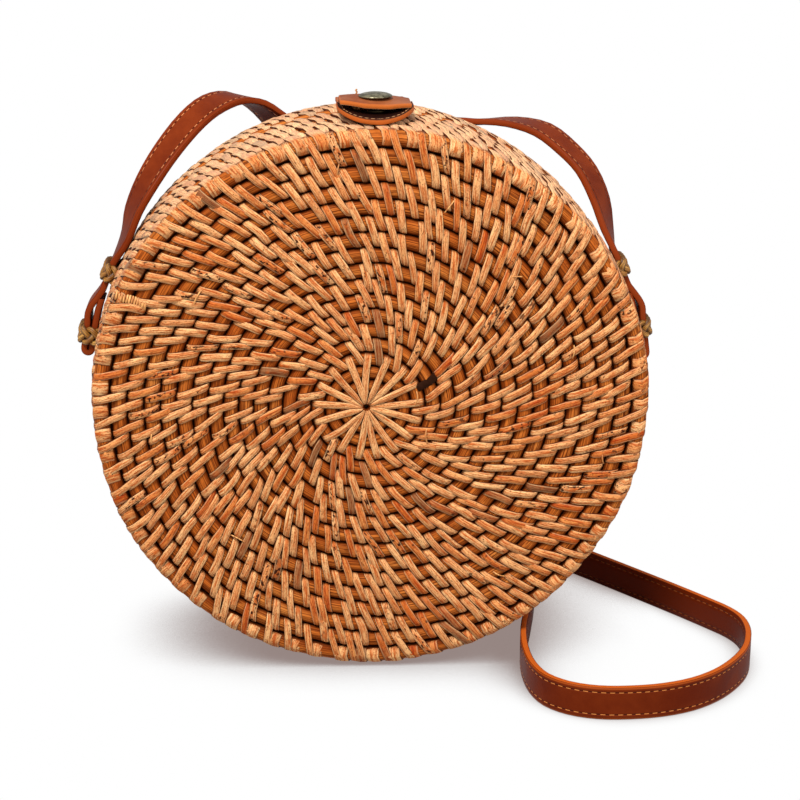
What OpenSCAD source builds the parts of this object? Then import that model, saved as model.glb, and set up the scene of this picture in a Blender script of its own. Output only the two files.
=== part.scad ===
// Round woven shoulder bag of coiled rattan rows: two dishes that meet at a seam, hinged at the
// bottom, closed by a leather flap with a snap, with a flat leather strap tied to its sides.
// The bag stands on the floor at z = 0, its seam lies in the plane y = 0 and its front faces -y.

/* [Bag] */
// Diameter of the bag at the seam between its halves
bag_d = 200; // [170:1:230]
// Depth of each half, from the seam to its flat face
half_depth = 39; // [34:1:46]
// How much smaller the front half's radius is at its face than at the seam
front_flare = 1.5; // [0.6:0.1:3]
// How much smaller the back half's radius is at its face than at the seam
back_flare = 3.5; // [0.6:0.1:4]
// Depth of the flat that the bag stands on
base_flat = 0.5; // [0.3:0.1:0.8]

/* [Coiled rows] */
// Rows between the centre and the edge row of a face
face_rows = 17; // [15:1:19]
// Rows of the wall between the edge row and the rim cane
wall_rows = 5; // [4:1:6]
// Radius of the first ring round the centre hole
start_ring_r = 2.95; // [2.8:0.05:3.2]
// Share by which rows get thicker towards the edge
pitch_spread_share = 0.11; // [0.05:0.01:0.15]
// Share by which rows are pressed into each other
row_fuse_share = 0.04; // [0.03:0.01:0.08]
// Share by which the first row of the wall is pressed into the edge row
edge_press_share = 0.08; // [0.06:0.01:0.12]
// Radius of the cane that ends each wall at the seam
rim_r = 3.1; // [2.7:0.1:3.5]
// Half of the gap between the two rim canes
rim_gap = 0.15; // [0.15:0.05:0.4]
// Gap between a piece and the woven surface under it
seat_gap = 0.1; // [0.05:0.05:0.2]

/* [Centre rays] */
// Number of split rays round the centre
ray_count = 17; // [12:1:20]
// Radius at which the rays end
ray_reach = 18.5; // [15:0.5:24]
// Radius of the dark hole that the rays start from
ray_hole_r = 1.2; // [1:0.1:1.6]
// Radius of the disc where the rays join
ray_hub_r = 3; // [2.6:0.1:3.6]
// Width of a ray at the hub
ray_root_w = 0.8; // [0.6:0.1:1]
// Width of a ray at its end
ray_tip_w = 3.2; // [2.4:0.1:3.8]
// Thickness of the split ray
ray_t = 0.5; // [0.4:0.1:0.8]

/* [Lining] */
// Thickness of the fabric lining
lining_t = 0.8; // [0.6:0.1:1.2]
// Gap between the rows and the lining
lining_gap = 0.3; // [0.2:0.1:0.6]

/* [Bottom hinge] */
// Distance of each hinge wrap from the middle
wrap_x = 22; // [16:1:30]
// Width of a hinge wrap
wrap_w = 3; // [2.4:0.1:5]
// Thickness of a hinge wrap
wrap_t = 0.8; // [0.6:0.1:1.2]
// Clearance between a wrap and its seat
wrap_fit = 0.05; // [0.04:0.01:0.1]

/* [Closing leather] */
// Sideways place of the flap, the tab and the snap
clasp_x = 2; // [0:0.5:4]
// Thickness of the flap leather
flap_t = 1.8; // [1.4:0.1:2.2]
// Width of the flap
flap_w = 25; // [20:1:30]
// Reach of the flap in front of the seam
flap_reach = 26; // [22:1:30]
// Length of the blunt point at the front of the flap
flap_point = 3.5; // [2:0.5:6]
// Height of the flap's underside above the top of the bag
flap_rise = 4.6; // [4.4:0.1:6]
// Distance in front of the seam at which the flap's rise ends
flap_crest_y = 11; // [10:0.5:12]
// Distance of the flap's fold line behind the seam
flap_fold_y = 6; // [5:0.5:8]
// Clearance between the flap's fold and the fixed leather behind it
fold_gap = 0.3; // [0.3:0.1:0.6]
// Distance of the fixed leather's end behind the seam
anchor_end_y = 32; // [28:0.5:33]
// Thickness of the tab leather
tab_t = 1.7; // [1.4:0.1:1.9]
// Width of the tab
tab_w = 27; // [22:1:30]
// Reach of the tab in front of the seam
tab_reach = 30; // [26:0.5:32]
// Distance of the tab's rear end in front of the seam
tab_start = 9.5; // [9.5:0.1:11]
// Radius of the hollow that the tab is cupped to
tab_cup_r = 38; // [36:1:60]
// Gap between the woven wall and the fixed leather on it
leather_gap = 0.6; // [0.3:0.1:0.8]

/* [Rattan ties] */
// Length of a tie that holds the leather
tie_l = 6; // [5:0.5:7]
// Width of a tie
tie_w = 2.4; // [2:0.1:3]
// Thickness of a tie
tie_t = 0.9; // [0.6:0.1:1.2]
// Distance of each tie from the middle of the leather
tie_x = 6.5; // [5:0.5:8]
// Clearance of a tie in its slit
tie_fit = 0.1; // [0.05:0.05:0.2]

/* [Snap] */
// Diameter of the snap's cap
cap_d = 12; // [10:0.5:14]
// Height of the snap's cap
cap_h = 2.7; // [2:0.1:3.4]
// Height of the cap's straight edge
cap_edge = 0.6; // [0.4:0.1:1]
// Distance of the snap in front of the seam
snap_y = 18; // [15:0.5:20]
// Diameter of the socket under the flap
socket_d = 10; // [8:0.5:11]
// Height of the socket
socket_h = 0.9; // [0.7:0.1:1.2]
// Diameter of the stud's base
stud_d = 9; // [8:0.5:10]
// Thickness of the stud's base
stud_t = 0.5; // [0.4:0.1:0.8]
// Diameter of the stud's post
post_d = 4.4; // [3.6:0.2:5]
// Clearance between the post and the socket
snap_fit = 0.3; // [0.3:0.05:0.5]

/* [Shoulder strap] */
// Width of the strap
strap_w = 12; // [10:0.5:14]
// Thickness of the strap
strap_t = 2.4; // [2:0.1:2.8]
// Distance of the strap's middle line behind the seam, at its ends
strap_y = 8; // [7.5:0.5:10]
// Clearance round the strap in its knots and between its folded layers
strap_fit = 0.3; // [0.25:0.05:0.5]

/* [Knots] */
// Angle of the upper knots above the middle of the bag
upper_knot_a = 23; // [22.5:0.5:24]
// Angle of the lower knots above the middle of the bag
lower_knot_a = 9.2; // [8.4:0.2:9.4]
// Length of a knot along the strap
knot_l = 7.5; // [6.5:0.5:8]
// Thickness of the strands of a knot
strand_t = 1.5; // [1.2:0.1:2]
// Thickness of the strand under the strap
under_strand_t = 0.9; // [0.7:0.1:1.2]
// Strands side by side in a knot
knot_strands = 5; // [4:1:6]

/* [Hidden] */
$fn = 120;

// Overrun of every cut
over = 1;

// The bag's middle height: the standing flat lies at z = 0
bag_r = bag_d / 2;
mid_z = bag_r - base_flat;

// Edge row of a face, where f is how much smaller the half is at its face: its tube is as thick
// as the last row's share of the pitch asks
edge_share = (1 + row_fuse_share) * (1 + pitch_spread_share) / (2 * face_rows);
function edge_span(f) = bag_r - f - start_ring_r;
function edge_tube(f) = edge_share * edge_span(f) / (1 + edge_share);
function edge_z(f) = half_depth - edge_tube(f);

// Places and tube radii of the face's rows, thicker towards the edge
function mean_pitch(f) = (edge_span(f) - edge_tube(f)) / face_rows;
function face_pitch(n, f) =
    mean_pitch(f) * (1 + pitch_spread_share * (2 * n / face_rows - 1));
function face_place(n, f) =
    start_ring_r + mean_pitch(f) * n * (1 - pitch_spread_share * (1 - n / face_rows));
function face_tube(n, f) =
    n == face_rows ? edge_tube(f) : face_pitch(n, f) * (1 + row_fuse_share) / 2;

// Places of the wall's rows, from the edge row down to the rim cane
flare_power = 2.1;
function wall_out(z, f) = bag_r - f * pow(abs(z) / edge_z(f), flare_power);
rim_z = rim_gap + rim_r;
rim_top = rim_z + rim_r;
function wall_pitch(f) =
    (edge_z(f) - rim_top - seat_gap - (1 - edge_press_share) * edge_tube(f))
    / (wall_rows - 1 + (2 - edge_press_share) * (1 + row_fuse_share) / 2);
function wall_tube(f) = wall_pitch(f) * (1 + row_fuse_share) / 2;
function first_step(f) = (1 - edge_press_share) * (edge_tube(f) + wall_tube(f));
function wall_z(n, f) = edge_z(f) - first_step(f) - (n - 1) * wall_pitch(f);

// Height of the woven wall above the floor, at a distance from the seam on the bag's top
function wall_top(y) = mid_z + wall_out(y, y > 0 ? back_flare : front_flare);

// A half's own frame has z from the seam to its face; the front half looks to -y
module front_half() {
    translate([0, 0, mid_z])
        rotate([90, 0, 0])
            children();
}

module back_half() {
    mirror([0, 1, 0])
        front_half()
            children();
}

module below_floor() {
    translate([-bag_r, -bag_r, -bag_r])
        cube([bag_d, bag_d, bag_r]);
}

// Coiled dish: the rows of the face and the wall, each pressed a little into the next
module coil_rows(f) {
    for (n = [0 : face_rows])
        translate([face_place(n, f), half_depth - face_tube(n, f)])
            circle(face_tube(n, f));
    for (n = [1 : wall_rows])
        translate([wall_out(wall_z(n, f), f) - wall_tube(f), wall_z(n, f)])
            circle(wall_tube(f));
}

module dish(f) {
    rotate_extrude()
        coil_rows(f);
}

// Rim cane with a shallow seat for each hinge wrap
wrap_a = asin(wrap_x / bag_r);
wrap_turn = 2 * asin(wrap_w / bag_d);
fit_turn = 2 * asin(wrap_fit / bag_d);

module wrap_ring(inner_r, outer_r, turn) {
    for (side = [-1, 1])
        rotate([0, 0, -90 + side * wrap_a - turn / 2])
            rotate_extrude(angle = turn)
                translate([bag_r - rim_r, rim_z])
                    difference() {
                        circle(outer_r);
                        circle(inner_r);
                    }
}

module rim_cane() {
    difference() {
        rotate_extrude()
            translate([bag_r - rim_r, rim_z])
                circle(rim_r);
        wrap_ring(rim_r - wrap_t, rim_r + over, wrap_turn);
    }
}

module hinge_wraps() {
    wrap_ring(rim_r - wrap_t + wrap_fit, rim_r, wrap_turn - 2 * fit_turn);
}

// Centre rays, laid over the first rows and following their bumps
ray_rows = ceil((ray_reach - start_ring_r) / face_pitch(0, front_flare));

module ray_section(f) {
    difference() {
        for (n = [0 : ray_rows])
            translate([face_place(n, f), half_depth - face_tube(n, f)])
                circle(face_tube(n, f) + seat_gap + ray_t);
        for (n = [0 : ray_rows])
            translate([face_place(n, f), half_depth - face_tube(n, f)])
                circle(face_tube(n, f) + seat_gap);
        translate([-over, -half_depth])
            square([ray_hole_r + over, 3 * half_depth]);
        translate([ray_reach, -half_depth])
            square([bag_r, 3 * half_depth]);
        square([bag_r, half_depth - face_tube(0, f) + ray_t]);
    }
}

module ray_fan() {
    linear_extrude(half_depth + over)
        union() {
            circle(ray_hub_r);
            for (n = [0 : ray_count - 1])
                rotate(n * 360 / ray_count + 90)
                    polygon([[ray_hole_r, -ray_root_w / 2], [ray_reach + over, -ray_tip_w / 2],
                        [ray_reach + over, ray_tip_w / 2], [ray_hole_r, ray_root_w / 2]]);
        }
}

module rosette(f) {
    intersection() {
        rotate_extrude()
            ray_section(f);
        ray_fan();
    }
}

// Fabric lining: a thin dish that follows the wall's curve
lining_steps = 6;
function lining_z(f) = half_depth - 2 * edge_tube(f) - lining_gap;
function lining_r(z, f) = wall_out(z, f) - 2 * wall_tube(f) - lining_gap;
function lining_h(n, f) = rim_top + (lining_z(f) - rim_top) * n / lining_steps;
function lining_side(f, inset) =
    [for (n = [0 : lining_steps]) [lining_r(lining_h(n, f), f) - inset, lining_h(n, f)]];

module lining(f) {
    rotate_extrude()
        difference() {
            polygon(concat([[0, rim_top]], lining_side(f, 0), [[0, lining_z(f)]]));
            intersection() {
                polygon(concat([[-over, rim_top - over], [lining_r(rim_top, f) - lining_t,
                    rim_top - over]], lining_side(f, lining_t), [[-over, lining_z(f)]]));
                translate([-over, -over])
                    square([bag_r, lining_z(f) - lining_t + over]);
            }
        }
}

// Heights of the closing leather
flap_z = mid_z + bag_r + flap_rise;
fold_z = wall_top(0) + leather_gap + flap_t / 2;
tab_z = wall_top(0) + seat_gap;
tab_top_r = tab_cup_r - tab_t;
function tab_top(x) = tab_z + tab_cup_r - sqrt(pow(tab_top_r, 2) - pow(x, 2));

// A rattan staple: a flat bar with two legs that go through slits in the leather
module tie(top_z, foot_z, grow) {
    for (side = [-1, 1])
        translate([-tie_w / 2 - grow, side * (tie_l - tie_t) / 2 - tie_t / 2 - grow, foot_z])
            cube([tie_w + 2 * grow, tie_t + 2 * grow, top_z + tie_t - foot_z]);
    translate([-tie_w / 2 - grow, -tie_l / 2 - grow, top_z])
        cube([tie_w + 2 * grow, tie_l + 2 * grow, tie_t + grow]);
}

module tie_pair(y, top_z, foot_z, grow) {
    for (side = [-1, 1])
        translate([clasp_x + side * tie_x, y, 0])
            tie(top_z, foot_z, grow);
}

// Ties of the fixed leather lie near its end, ties of the tab between its end and the snap
anchor_tie_y = anchor_end_y - tie_l;
anchor_foot_z = wall_top(anchor_tie_y - tie_l / 2) + seat_gap;
anchor_top_z = anchor_foot_z + leather_gap + flap_t;
tab_tie_y = -(tab_start + tie_t + tie_l / 2);
tab_tie_z = tab_top(tie_x + tie_w / 2) + seat_gap;

module flap_anchor_ties() {
    color("peru")
        tie_pair(anchor_tie_y, anchor_top_z, anchor_foot_z, 0);
}

module front_tab_ties() {
    color("peru")
        tie_pair(tab_tie_y, tab_tie_z, tab_z, 0);
}

// Fixed leather: follows the back wall's curve from the fold to its end, its first edge bevelled
anchor_start_y = flap_fold_y + flap_t / 2 + fold_gap;
anchor_steps = 5;
anchor_ys = [for (n = [0 : anchor_steps])
    anchor_start_y + (anchor_end_y - anchor_start_y) * n / anchor_steps];

module flap_anchor() {
    color("sienna")
        difference() {
            translate([clasp_x - flap_w / 2, 0, 0])
                rotate([90, 0, 90])
                    linear_extrude(flap_w)
                        polygon(concat(
                            [for (y = anchor_ys) [y, wall_top(y) + leather_gap]],
                            [for (n = [anchor_steps : -1 : 1])
                                [anchor_ys[n], wall_top(anchor_ys[n]) + leather_gap + flap_t]],
                            [[anchor_start_y + flap_t / 2, fold_z + flap_t / 2],
                                [anchor_start_y, fold_z]]));
            tie_pair(anchor_tie_y, anchor_top_z, anchor_foot_z - over, tie_fit);
        }
}

// Tab: a cupped tongue with a half-round end, on top of the front wall
module front_tab() {
    color("sienna")
        difference() {
            intersection() {
                translate([clasp_x, 0, tab_z + tab_cup_r])
                    rotate([90, 0, 0])
                        linear_extrude(tab_reach + over)
                            difference() {
                                circle(tab_cup_r);
                                circle(tab_top_r);
                            }
                translate([clasp_x, 0, tab_z - over])
                    linear_extrude(tab_cup_r)
                        union() {
                            translate([0, tab_w / 2 - tab_reach])
                                circle(d = tab_w);
                            translate([-tab_w / 2, tab_w / 2 - tab_reach])
                                square([tab_w, tab_reach - tab_w / 2 - tab_start]);
                        }
            }
            tie_pair(tab_tie_y, tab_tie_z, tab_z - over, tie_fit);
        }
}

// Flap: a tongue that rises from a rounded fold on the back half to a level front part over the
// tab, with a blunt point at its front
nose_share = 0.34;
flap_nose_w = flap_w * nose_share;

module closure_flap() {
    color("sienna") {
        intersection() {
            translate([clasp_x - flap_w / 2, 0, 0])
                rotate([90, 0, 90])
                    linear_extrude(flap_w)
                        polygon([[flap_fold_y, fold_z - flap_t / 2], [-flap_crest_y, flap_z],
                            [-flap_reach, flap_z], [-flap_reach, flap_z + flap_t],
                            [-flap_crest_y, flap_z + flap_t], [flap_fold_y, fold_z + flap_t / 2]]);
            translate([clasp_x, 0, mid_z])
                linear_extrude(bag_d)
                    polygon([[-flap_w / 2, flap_fold_y + over],
                        [-flap_w / 2, flap_point - flap_reach],
                        [-flap_nose_w / 2, -flap_reach], [flap_nose_w / 2, -flap_reach],
                        [flap_w / 2, flap_point - flap_reach],
                        [flap_w / 2, flap_fold_y + over]]);
        }
        translate([clasp_x - flap_w / 2, flap_fold_y, fold_z])
            rotate([0, 90, 0])
                cylinder(h = flap_w, d = flap_t);
    }
}

// Snap: base plate and post on the tab, socket and domed cap on the flap
stud_z = tab_top(stud_d / 2);
post_z = stud_z + stud_t;
post_h = flap_z - socket_h - snap_fit - post_z;
dome_h = cap_h - cap_edge;
dome_r = (pow(cap_d / 2, 2) + pow(dome_h, 2)) / (2 * dome_h);

module snap_stud() {
    color("darkgoldenrod")
        translate([clasp_x, -snap_y, stud_z])
            cylinder(h = stud_t, d = stud_d);
}

module snap_post() {
    color("darkgoldenrod")
        translate([clasp_x, -snap_y, post_z])
            cylinder(h = post_h, d = post_d);
}

module snap_socket() {
    color("darkgoldenrod")
        translate([clasp_x, -snap_y, flap_z - socket_h])
            difference() {
                cylinder(h = socket_h, d = socket_d);
                translate([0, 0, -over])
                    cylinder(h = socket_h + 2 * over, d = post_d + 2 * snap_fit);
            }
}

module snap_cap() {
    color("darkkhaki")
        translate([clasp_x, -snap_y, flap_z + flap_t])
            rotate_extrude()
                intersection() {
                    square([cap_d / 2, cap_h]);
                    translate([0, cap_h - dome_r])
                        circle(dome_r);
                }
}

// Knots: strands wound side by side round the strap, on the back half's wall
wall_seat_r = bag_r + seat_gap;
inner_layer_r = wall_seat_r + under_strand_t + strap_fit + strap_t / 2;
layer_step = strap_t + strap_fit;
strand_w = knot_l / knot_strands;
strand_step_share = 0.2;

module knot_plate(outer_r, shrink) {
    linear_extrude(strand_w)
        difference() {
            translate([wall_seat_r, -strap_w / 2 - strap_fit - strand_t + shrink])
                hull() {
                    square([under_strand_t, strap_w + 2 * (strap_fit + strand_t - shrink)]);
                    for (far = [0, 1])
                        translate([outer_r - wall_seat_r - strand_t - shrink,
                            far ? strap_w + 2 * strap_fit + strand_t - 2 * shrink : strand_t])
                            circle(strand_t, $fn = 20);
                }
            translate([inner_layer_r - strap_t / 2 - strap_fit, -strap_w / 2 - strap_fit])
                square([outer_r - strand_t - inner_layer_r + strap_t / 2 + strap_fit,
                    strap_w + 2 * strap_fit]);
        }
}

module knot(angle, layers) {
    outer_r = inner_layer_r + (layers - 1) * layer_step + strap_t / 2 + strap_fit + strand_t;
    translate([0, strap_y, mid_z])
        rotate([0, -angle, 0])
            for (n = [0 : knot_strands - 1])
                translate([0, 0, n * strand_w - knot_l / 2])
                    knot_plate(outer_r, n % 2 == 0 ? strand_t * strand_step_share : 0);
}

module left_upper_knot() {
    color("tan")
        mirror([1, 0, 0])
            knot(upper_knot_a, 1);
}

module left_lower_knot() {
    color("tan")
        mirror([1, 0, 0])
            knot(lower_knot_a, 2);
}

module right_upper_knot() {
    color("tan")
        knot(upper_knot_a, 1);
}

module right_lower_knot() {
    color("tan")
        knot(lower_knot_a, 2);
}

// Strap ends: angle from the lower knot and number of layers outward, from the hidden end down
// through the lower knot, round the fold and up again to the upper knot
fold_r = layer_step / 2;
tip_a = lower_knot_a - 2.9;
fold_in_shares = [[4.8, 0], [-2.2, 0]];
fold_out_shares = [[-2.2, 1], [2.3, 1], [4.5, 1.2], [6.3, 0.95], [8.2, 0.42], [9.9, 0.08],
    [11.6, 0], [16.3, 0]];
fold_turns = [0, 45, 90, 135, 180];

function end_point(angle, r) = [r * cos(angle), strap_y, mid_z + r * sin(angle)];
function strap_end() = concat(
    [for (p = fold_in_shares) end_point(lower_knot_a + p[0], inner_layer_r + p[1] * layer_step)],
    [for (t = fold_turns) end_point(tip_a, inner_layer_r + fold_r * (1 - cos(t)))
        + fold_r * sin(t) * [sin(tip_a), 0, -cos(tip_a)]],
    [for (p = fold_out_shares) end_point(lower_knot_a + p[0], inner_layer_r + p[1] * layer_step)]);

// Free run of the strap in shares of the bag's radius: place, then the direction of its width
left_arc_shares = [
    [[-0.88, 0.065, 1.525], [-0.17, 0.97, 0.16]],
    [[-0.85, 0.07, 1.62], [-0.43, 0.9, 0.03]],
    [[-0.795, 0.105, 1.725], [-0.66, 0.75, 0.04]],
    [[-0.725, 0.17, 1.825], [-0.77, 0.63, 0.1]],
    [[-0.635, 0.27, 1.92], [-0.8, 0.57, 0.22]],
    [[-0.56, 0.36, 1.965], [-0.74, 0.61, 0.28]],
    [[-0.48, 0.44, 1.975], [-0.62, 0.75, 0.12]],
    [[-0.4, 0.5, 1.94], [-0.5, 0.76, -0.2]],
    [[-0.32, 0.54, 1.865], [-0.4, 0.66, -0.55]]];
back_fall_shares = [
    [[-0.22, 0.59, 1.7], [-0.65, 0.35, -0.55]],
    [[-0.13, 0.63, 1.45], [-0.93, 0, -0.37]],
    [[0, 0.655, 1.1], [-0.92, 0, -0.4]],
    [[0.18, 0.68, 0.73], [-0.9, 0, -0.43]],
    [[0.36, 0.71, 0.41], [-0.8, 0, -0.6]],
    [[0.5, 0.72, 0.22], [-0.65, 0.2, -0.72]],
    [[0.6, 0.71, 0.11], [-0.45, 0.2, -0.87]],
    [[0.7, 0.66, 0.03], [-0.2, 0.1, -0.97]]];
floor_shares = [[0.8, 0.565], [0.885, 0.46], [1.05, 0.245], [1.2, 0.045], [1.3, -0.095],
    [1.365, -0.195], [1.392, -0.275], [1.393, -0.365], [1.375, -0.455], [1.34, -0.55],
    [1.275, -0.65], [1.195, -0.735], [1.1, -0.8], [0.99, -0.84], [0.87, -0.855],
    [0.76, -0.848], [0.665, -0.81], [0.595, -0.74], [0.56, -0.64], [0.55, -0.5],
    [0.565, -0.33], [0.6, -0.16], [0.65, 0.1], [0.67, 0.28]];
back_rise_shares = [
    [[0.68, 0.41, 0], [0.6, 0, -0.8]],
    [[0.68, 0.52, 0], [0.95, 0, -0.3]],
    [[0.665, 0.58, 0.08], [1, 0, 0]],
    [[0.63, 0.605, 0.24], [1, 0, 0.1]],
    [[0.58, 0.6, 0.45], [0.9, 0.3, 0.2]],
    [[0.46, 0.585, 0.85], [0.6, 0.75, 0.1]],
    [[0.32, 0.57, 1.25], [0.3, 0.95, 0]],
    [[0.235, 0.55, 1.58], [0.2, 0.98, -0.05]],
    [[0.26, 0.52, 1.74], [0.2, 0.96, -0.18]]];
right_arc_shares = [
    [[0.33, 0.5, 1.86], [0.23, 0.95, -0.28]],
    [[0.45, 0.465, 1.872], [0.34, 0.92, -0.16]],
    [[0.57, 0.41, 1.88], [0.5, 0.86, 0]],
    [[0.68, 0.34, 1.86], [0.63, 0.77, 0.1]],
    [[0.765, 0.265, 1.8], [0.69, 0.72, 0.03]],
    [[0.83, 0.205, 1.73], [0.68, 0.73, -0.06]],
    [[0.875, 0.15, 1.63], [0.62, 0.78, -0.12]],
    [[0.9, 0.105, 1.52], [0.35, 0.91, -0.12]]];

function flip_x(p) = [-p[0], p[1], p[2]];
function reversed(list) = [for (n = [len(list) - 1 : -1 : 0]) list[n]];
function lifted(rows) = [for (q = rows) [q[0] * bag_r + [0, 0, strap_w / 2], q[1]]];
function raised(rows) = [for (q = rows) [q[0] * bag_r, q[1]]];

// Every ring of the strap: its place and the direction of its width
strap_rings = concat(
    [for (p = strap_end()) [flip_x(p), [0, 1, 0]]],
    raised(left_arc_shares),
    lifted(back_fall_shares),
    [for (p = floor_shares) [[p[0] * bag_r, p[1] * bag_r, strap_w / 2], [0, 0, -1]]],
    lifted(back_rise_shares),
    raised(right_arc_shares),
    [for (p = reversed(strap_end())) [p, [0, 1, 0]]]);
ring_count = len(strap_rings);

function unit(v) = v / norm(v);
function ring_dir(n) = n == 0 ? unit(strap_rings[1][0] - strap_rings[0][0])
    : n == ring_count - 1 ? unit(strap_rings[n][0] - strap_rings[n - 1][0])
    : unit(unit(strap_rings[n + 1][0] - strap_rings[n][0])
        + unit(strap_rings[n][0] - strap_rings[n - 1][0]));
function ring_wide(n, along) = unit(strap_rings[n][1] - (strap_rings[n][1] * along) * along);
function ring_corners(place, wide, thick) = [
    place - wide * strap_w / 2 - thick * strap_t / 2,
    place + wide * strap_w / 2 - thick * strap_t / 2,
    place + wide * strap_w / 2 + thick * strap_t / 2,
    place - wide * strap_w / 2 + thick * strap_t / 2];
strap_points = [for (n = [0 : ring_count - 1])
    let (along = ring_dir(n), wide = ring_wide(n, along))
        each ring_corners(strap_rings[n][0], wide, cross(along, wide))];
strap_faces = concat(
    [[3, 2, 1, 0]],
    [for (n = [0 : ring_count - 2]) for (k = [0 : 3])
        let (a = 4 * n + k, b = 4 * n + (k + 1) % 4)
            each [[a, b, b + 4], [a, b + 4, a + 4]]],
    [[for (k = [0 : 3]) 4 * (ring_count - 1) + k]]);
strap_runs = [for (n = [1 : ring_count - 1]) norm(strap_rings[n][0] - strap_rings[n - 1][0])];
function total(list, n) = n < 0 ? 0 : list[n] + total(list, n - 1);
echo(strap_length = total(strap_runs, len(strap_runs) - 1), rings = ring_count);

module shoulder_strap() {
    color("chocolate")
        polyhedron(points = strap_points, faces = strap_faces, convexity = 10);
}

module back_shell() {
    color("burlywood")
        difference() {
            back_half()
                dish(back_flare);
            below_floor();
        }
}

module back_rim_cane() {
    color("tan")
        difference() {
            back_half()
                rim_cane();
            below_floor();
        }
}

module back_rosette() {
    color("wheat")
        back_half()
            rosette(back_flare);
}

module back_lining() {
    color("saddlebrown")
        back_half()
            lining(back_flare);
}

module back_hinge_wraps() {
    color("peru")
        back_half()
            hinge_wraps();
}

module front_shell() {
    color("burlywood")
        difference() {
            front_half()
                dish(front_flare);
            below_floor();
        }
}

module front_rim_cane() {
    color("tan")
        difference() {
            front_half()
                rim_cane();
            below_floor();
        }
}

module front_rosette() {
    color("wheat")
        front_half()
            rosette(front_flare);
}

module front_lining() {
    color("saddlebrown")
        front_half()
            lining(front_flare);
}

module front_hinge_wraps() {
    color("peru")
        front_half()
            hinge_wraps();
}

back_shell();
back_rim_cane();
back_rosette();
back_lining();
back_hinge_wraps();
flap_anchor();
flap_anchor_ties();
shoulder_strap();
left_upper_knot();
left_lower_knot();
right_upper_knot();
right_lower_knot();
front_shell();
front_rim_cane();
front_rosette();
front_lining();
front_hinge_wraps();
front_tab();
front_tab_ties();
snap_stud();
snap_post();
closure_flap();
snap_cap();
snap_socket();
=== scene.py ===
import math
import bpy
import bmesh
import numpy as np
from mathutils import Vector, Matrix


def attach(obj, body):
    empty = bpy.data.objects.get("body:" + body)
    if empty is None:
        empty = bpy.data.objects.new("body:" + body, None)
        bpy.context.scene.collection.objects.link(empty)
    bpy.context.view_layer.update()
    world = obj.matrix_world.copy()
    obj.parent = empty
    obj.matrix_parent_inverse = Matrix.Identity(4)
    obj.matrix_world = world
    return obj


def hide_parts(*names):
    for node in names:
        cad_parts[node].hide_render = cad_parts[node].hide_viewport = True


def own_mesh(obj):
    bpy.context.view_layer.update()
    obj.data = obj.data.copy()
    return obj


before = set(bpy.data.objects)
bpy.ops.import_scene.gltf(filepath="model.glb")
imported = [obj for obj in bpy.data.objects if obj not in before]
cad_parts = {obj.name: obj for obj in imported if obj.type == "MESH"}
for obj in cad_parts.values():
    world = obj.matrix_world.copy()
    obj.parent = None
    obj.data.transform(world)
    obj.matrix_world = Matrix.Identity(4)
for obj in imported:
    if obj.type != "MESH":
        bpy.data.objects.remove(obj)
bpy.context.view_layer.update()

MM = 0.001
TAU = 2 * math.pi
# Both halves are dishes round one axis at this height; all sizes of the bag are in mm
MID_Z = 99.5
BAG_R = 100.0
FACE_Z = 39.0
RIM_ROW = (96.9, 3.25, 3.1)


def add_object(data):
    """A new object of this data in the scene, under the same name."""
    made = bpy.data.objects.new(data.name, data)
    bpy.context.scene.collection.objects.link(made)
    return made


def look(data, place, aim):
    """Puts a camera or lamp at a place in metres, looking at another."""
    made = add_object(data)
    place = Vector(place)
    turn = (Vector(aim) - place).to_track_quat("-Z", "Y").to_matrix().to_4x4()
    made.matrix_world = Matrix.Translation(place) @ turn
    return made


def make_camera():
    """The photograph's viewpoint: a little above the bag, slightly from its left."""
    data = bpy.data.cameras.new("camera")
    data.sensor_width = 36.0
    data.lens = 86.94
    data.shift_x = 0.041
    data.shift_y = -0.0309
    data.clip_start = 0.01
    bpy.context.scene.camera = look(data, (-0.03205, -0.6899, 0.3035), (0.0, 0.0, 0.100))


def make_lamp(name, place, aim, size, power):
    data = bpy.data.lights.new(name, "AREA")
    data.shape = "DISK"
    data.size = size
    data.energy = power
    look(data, place, aim)


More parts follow.
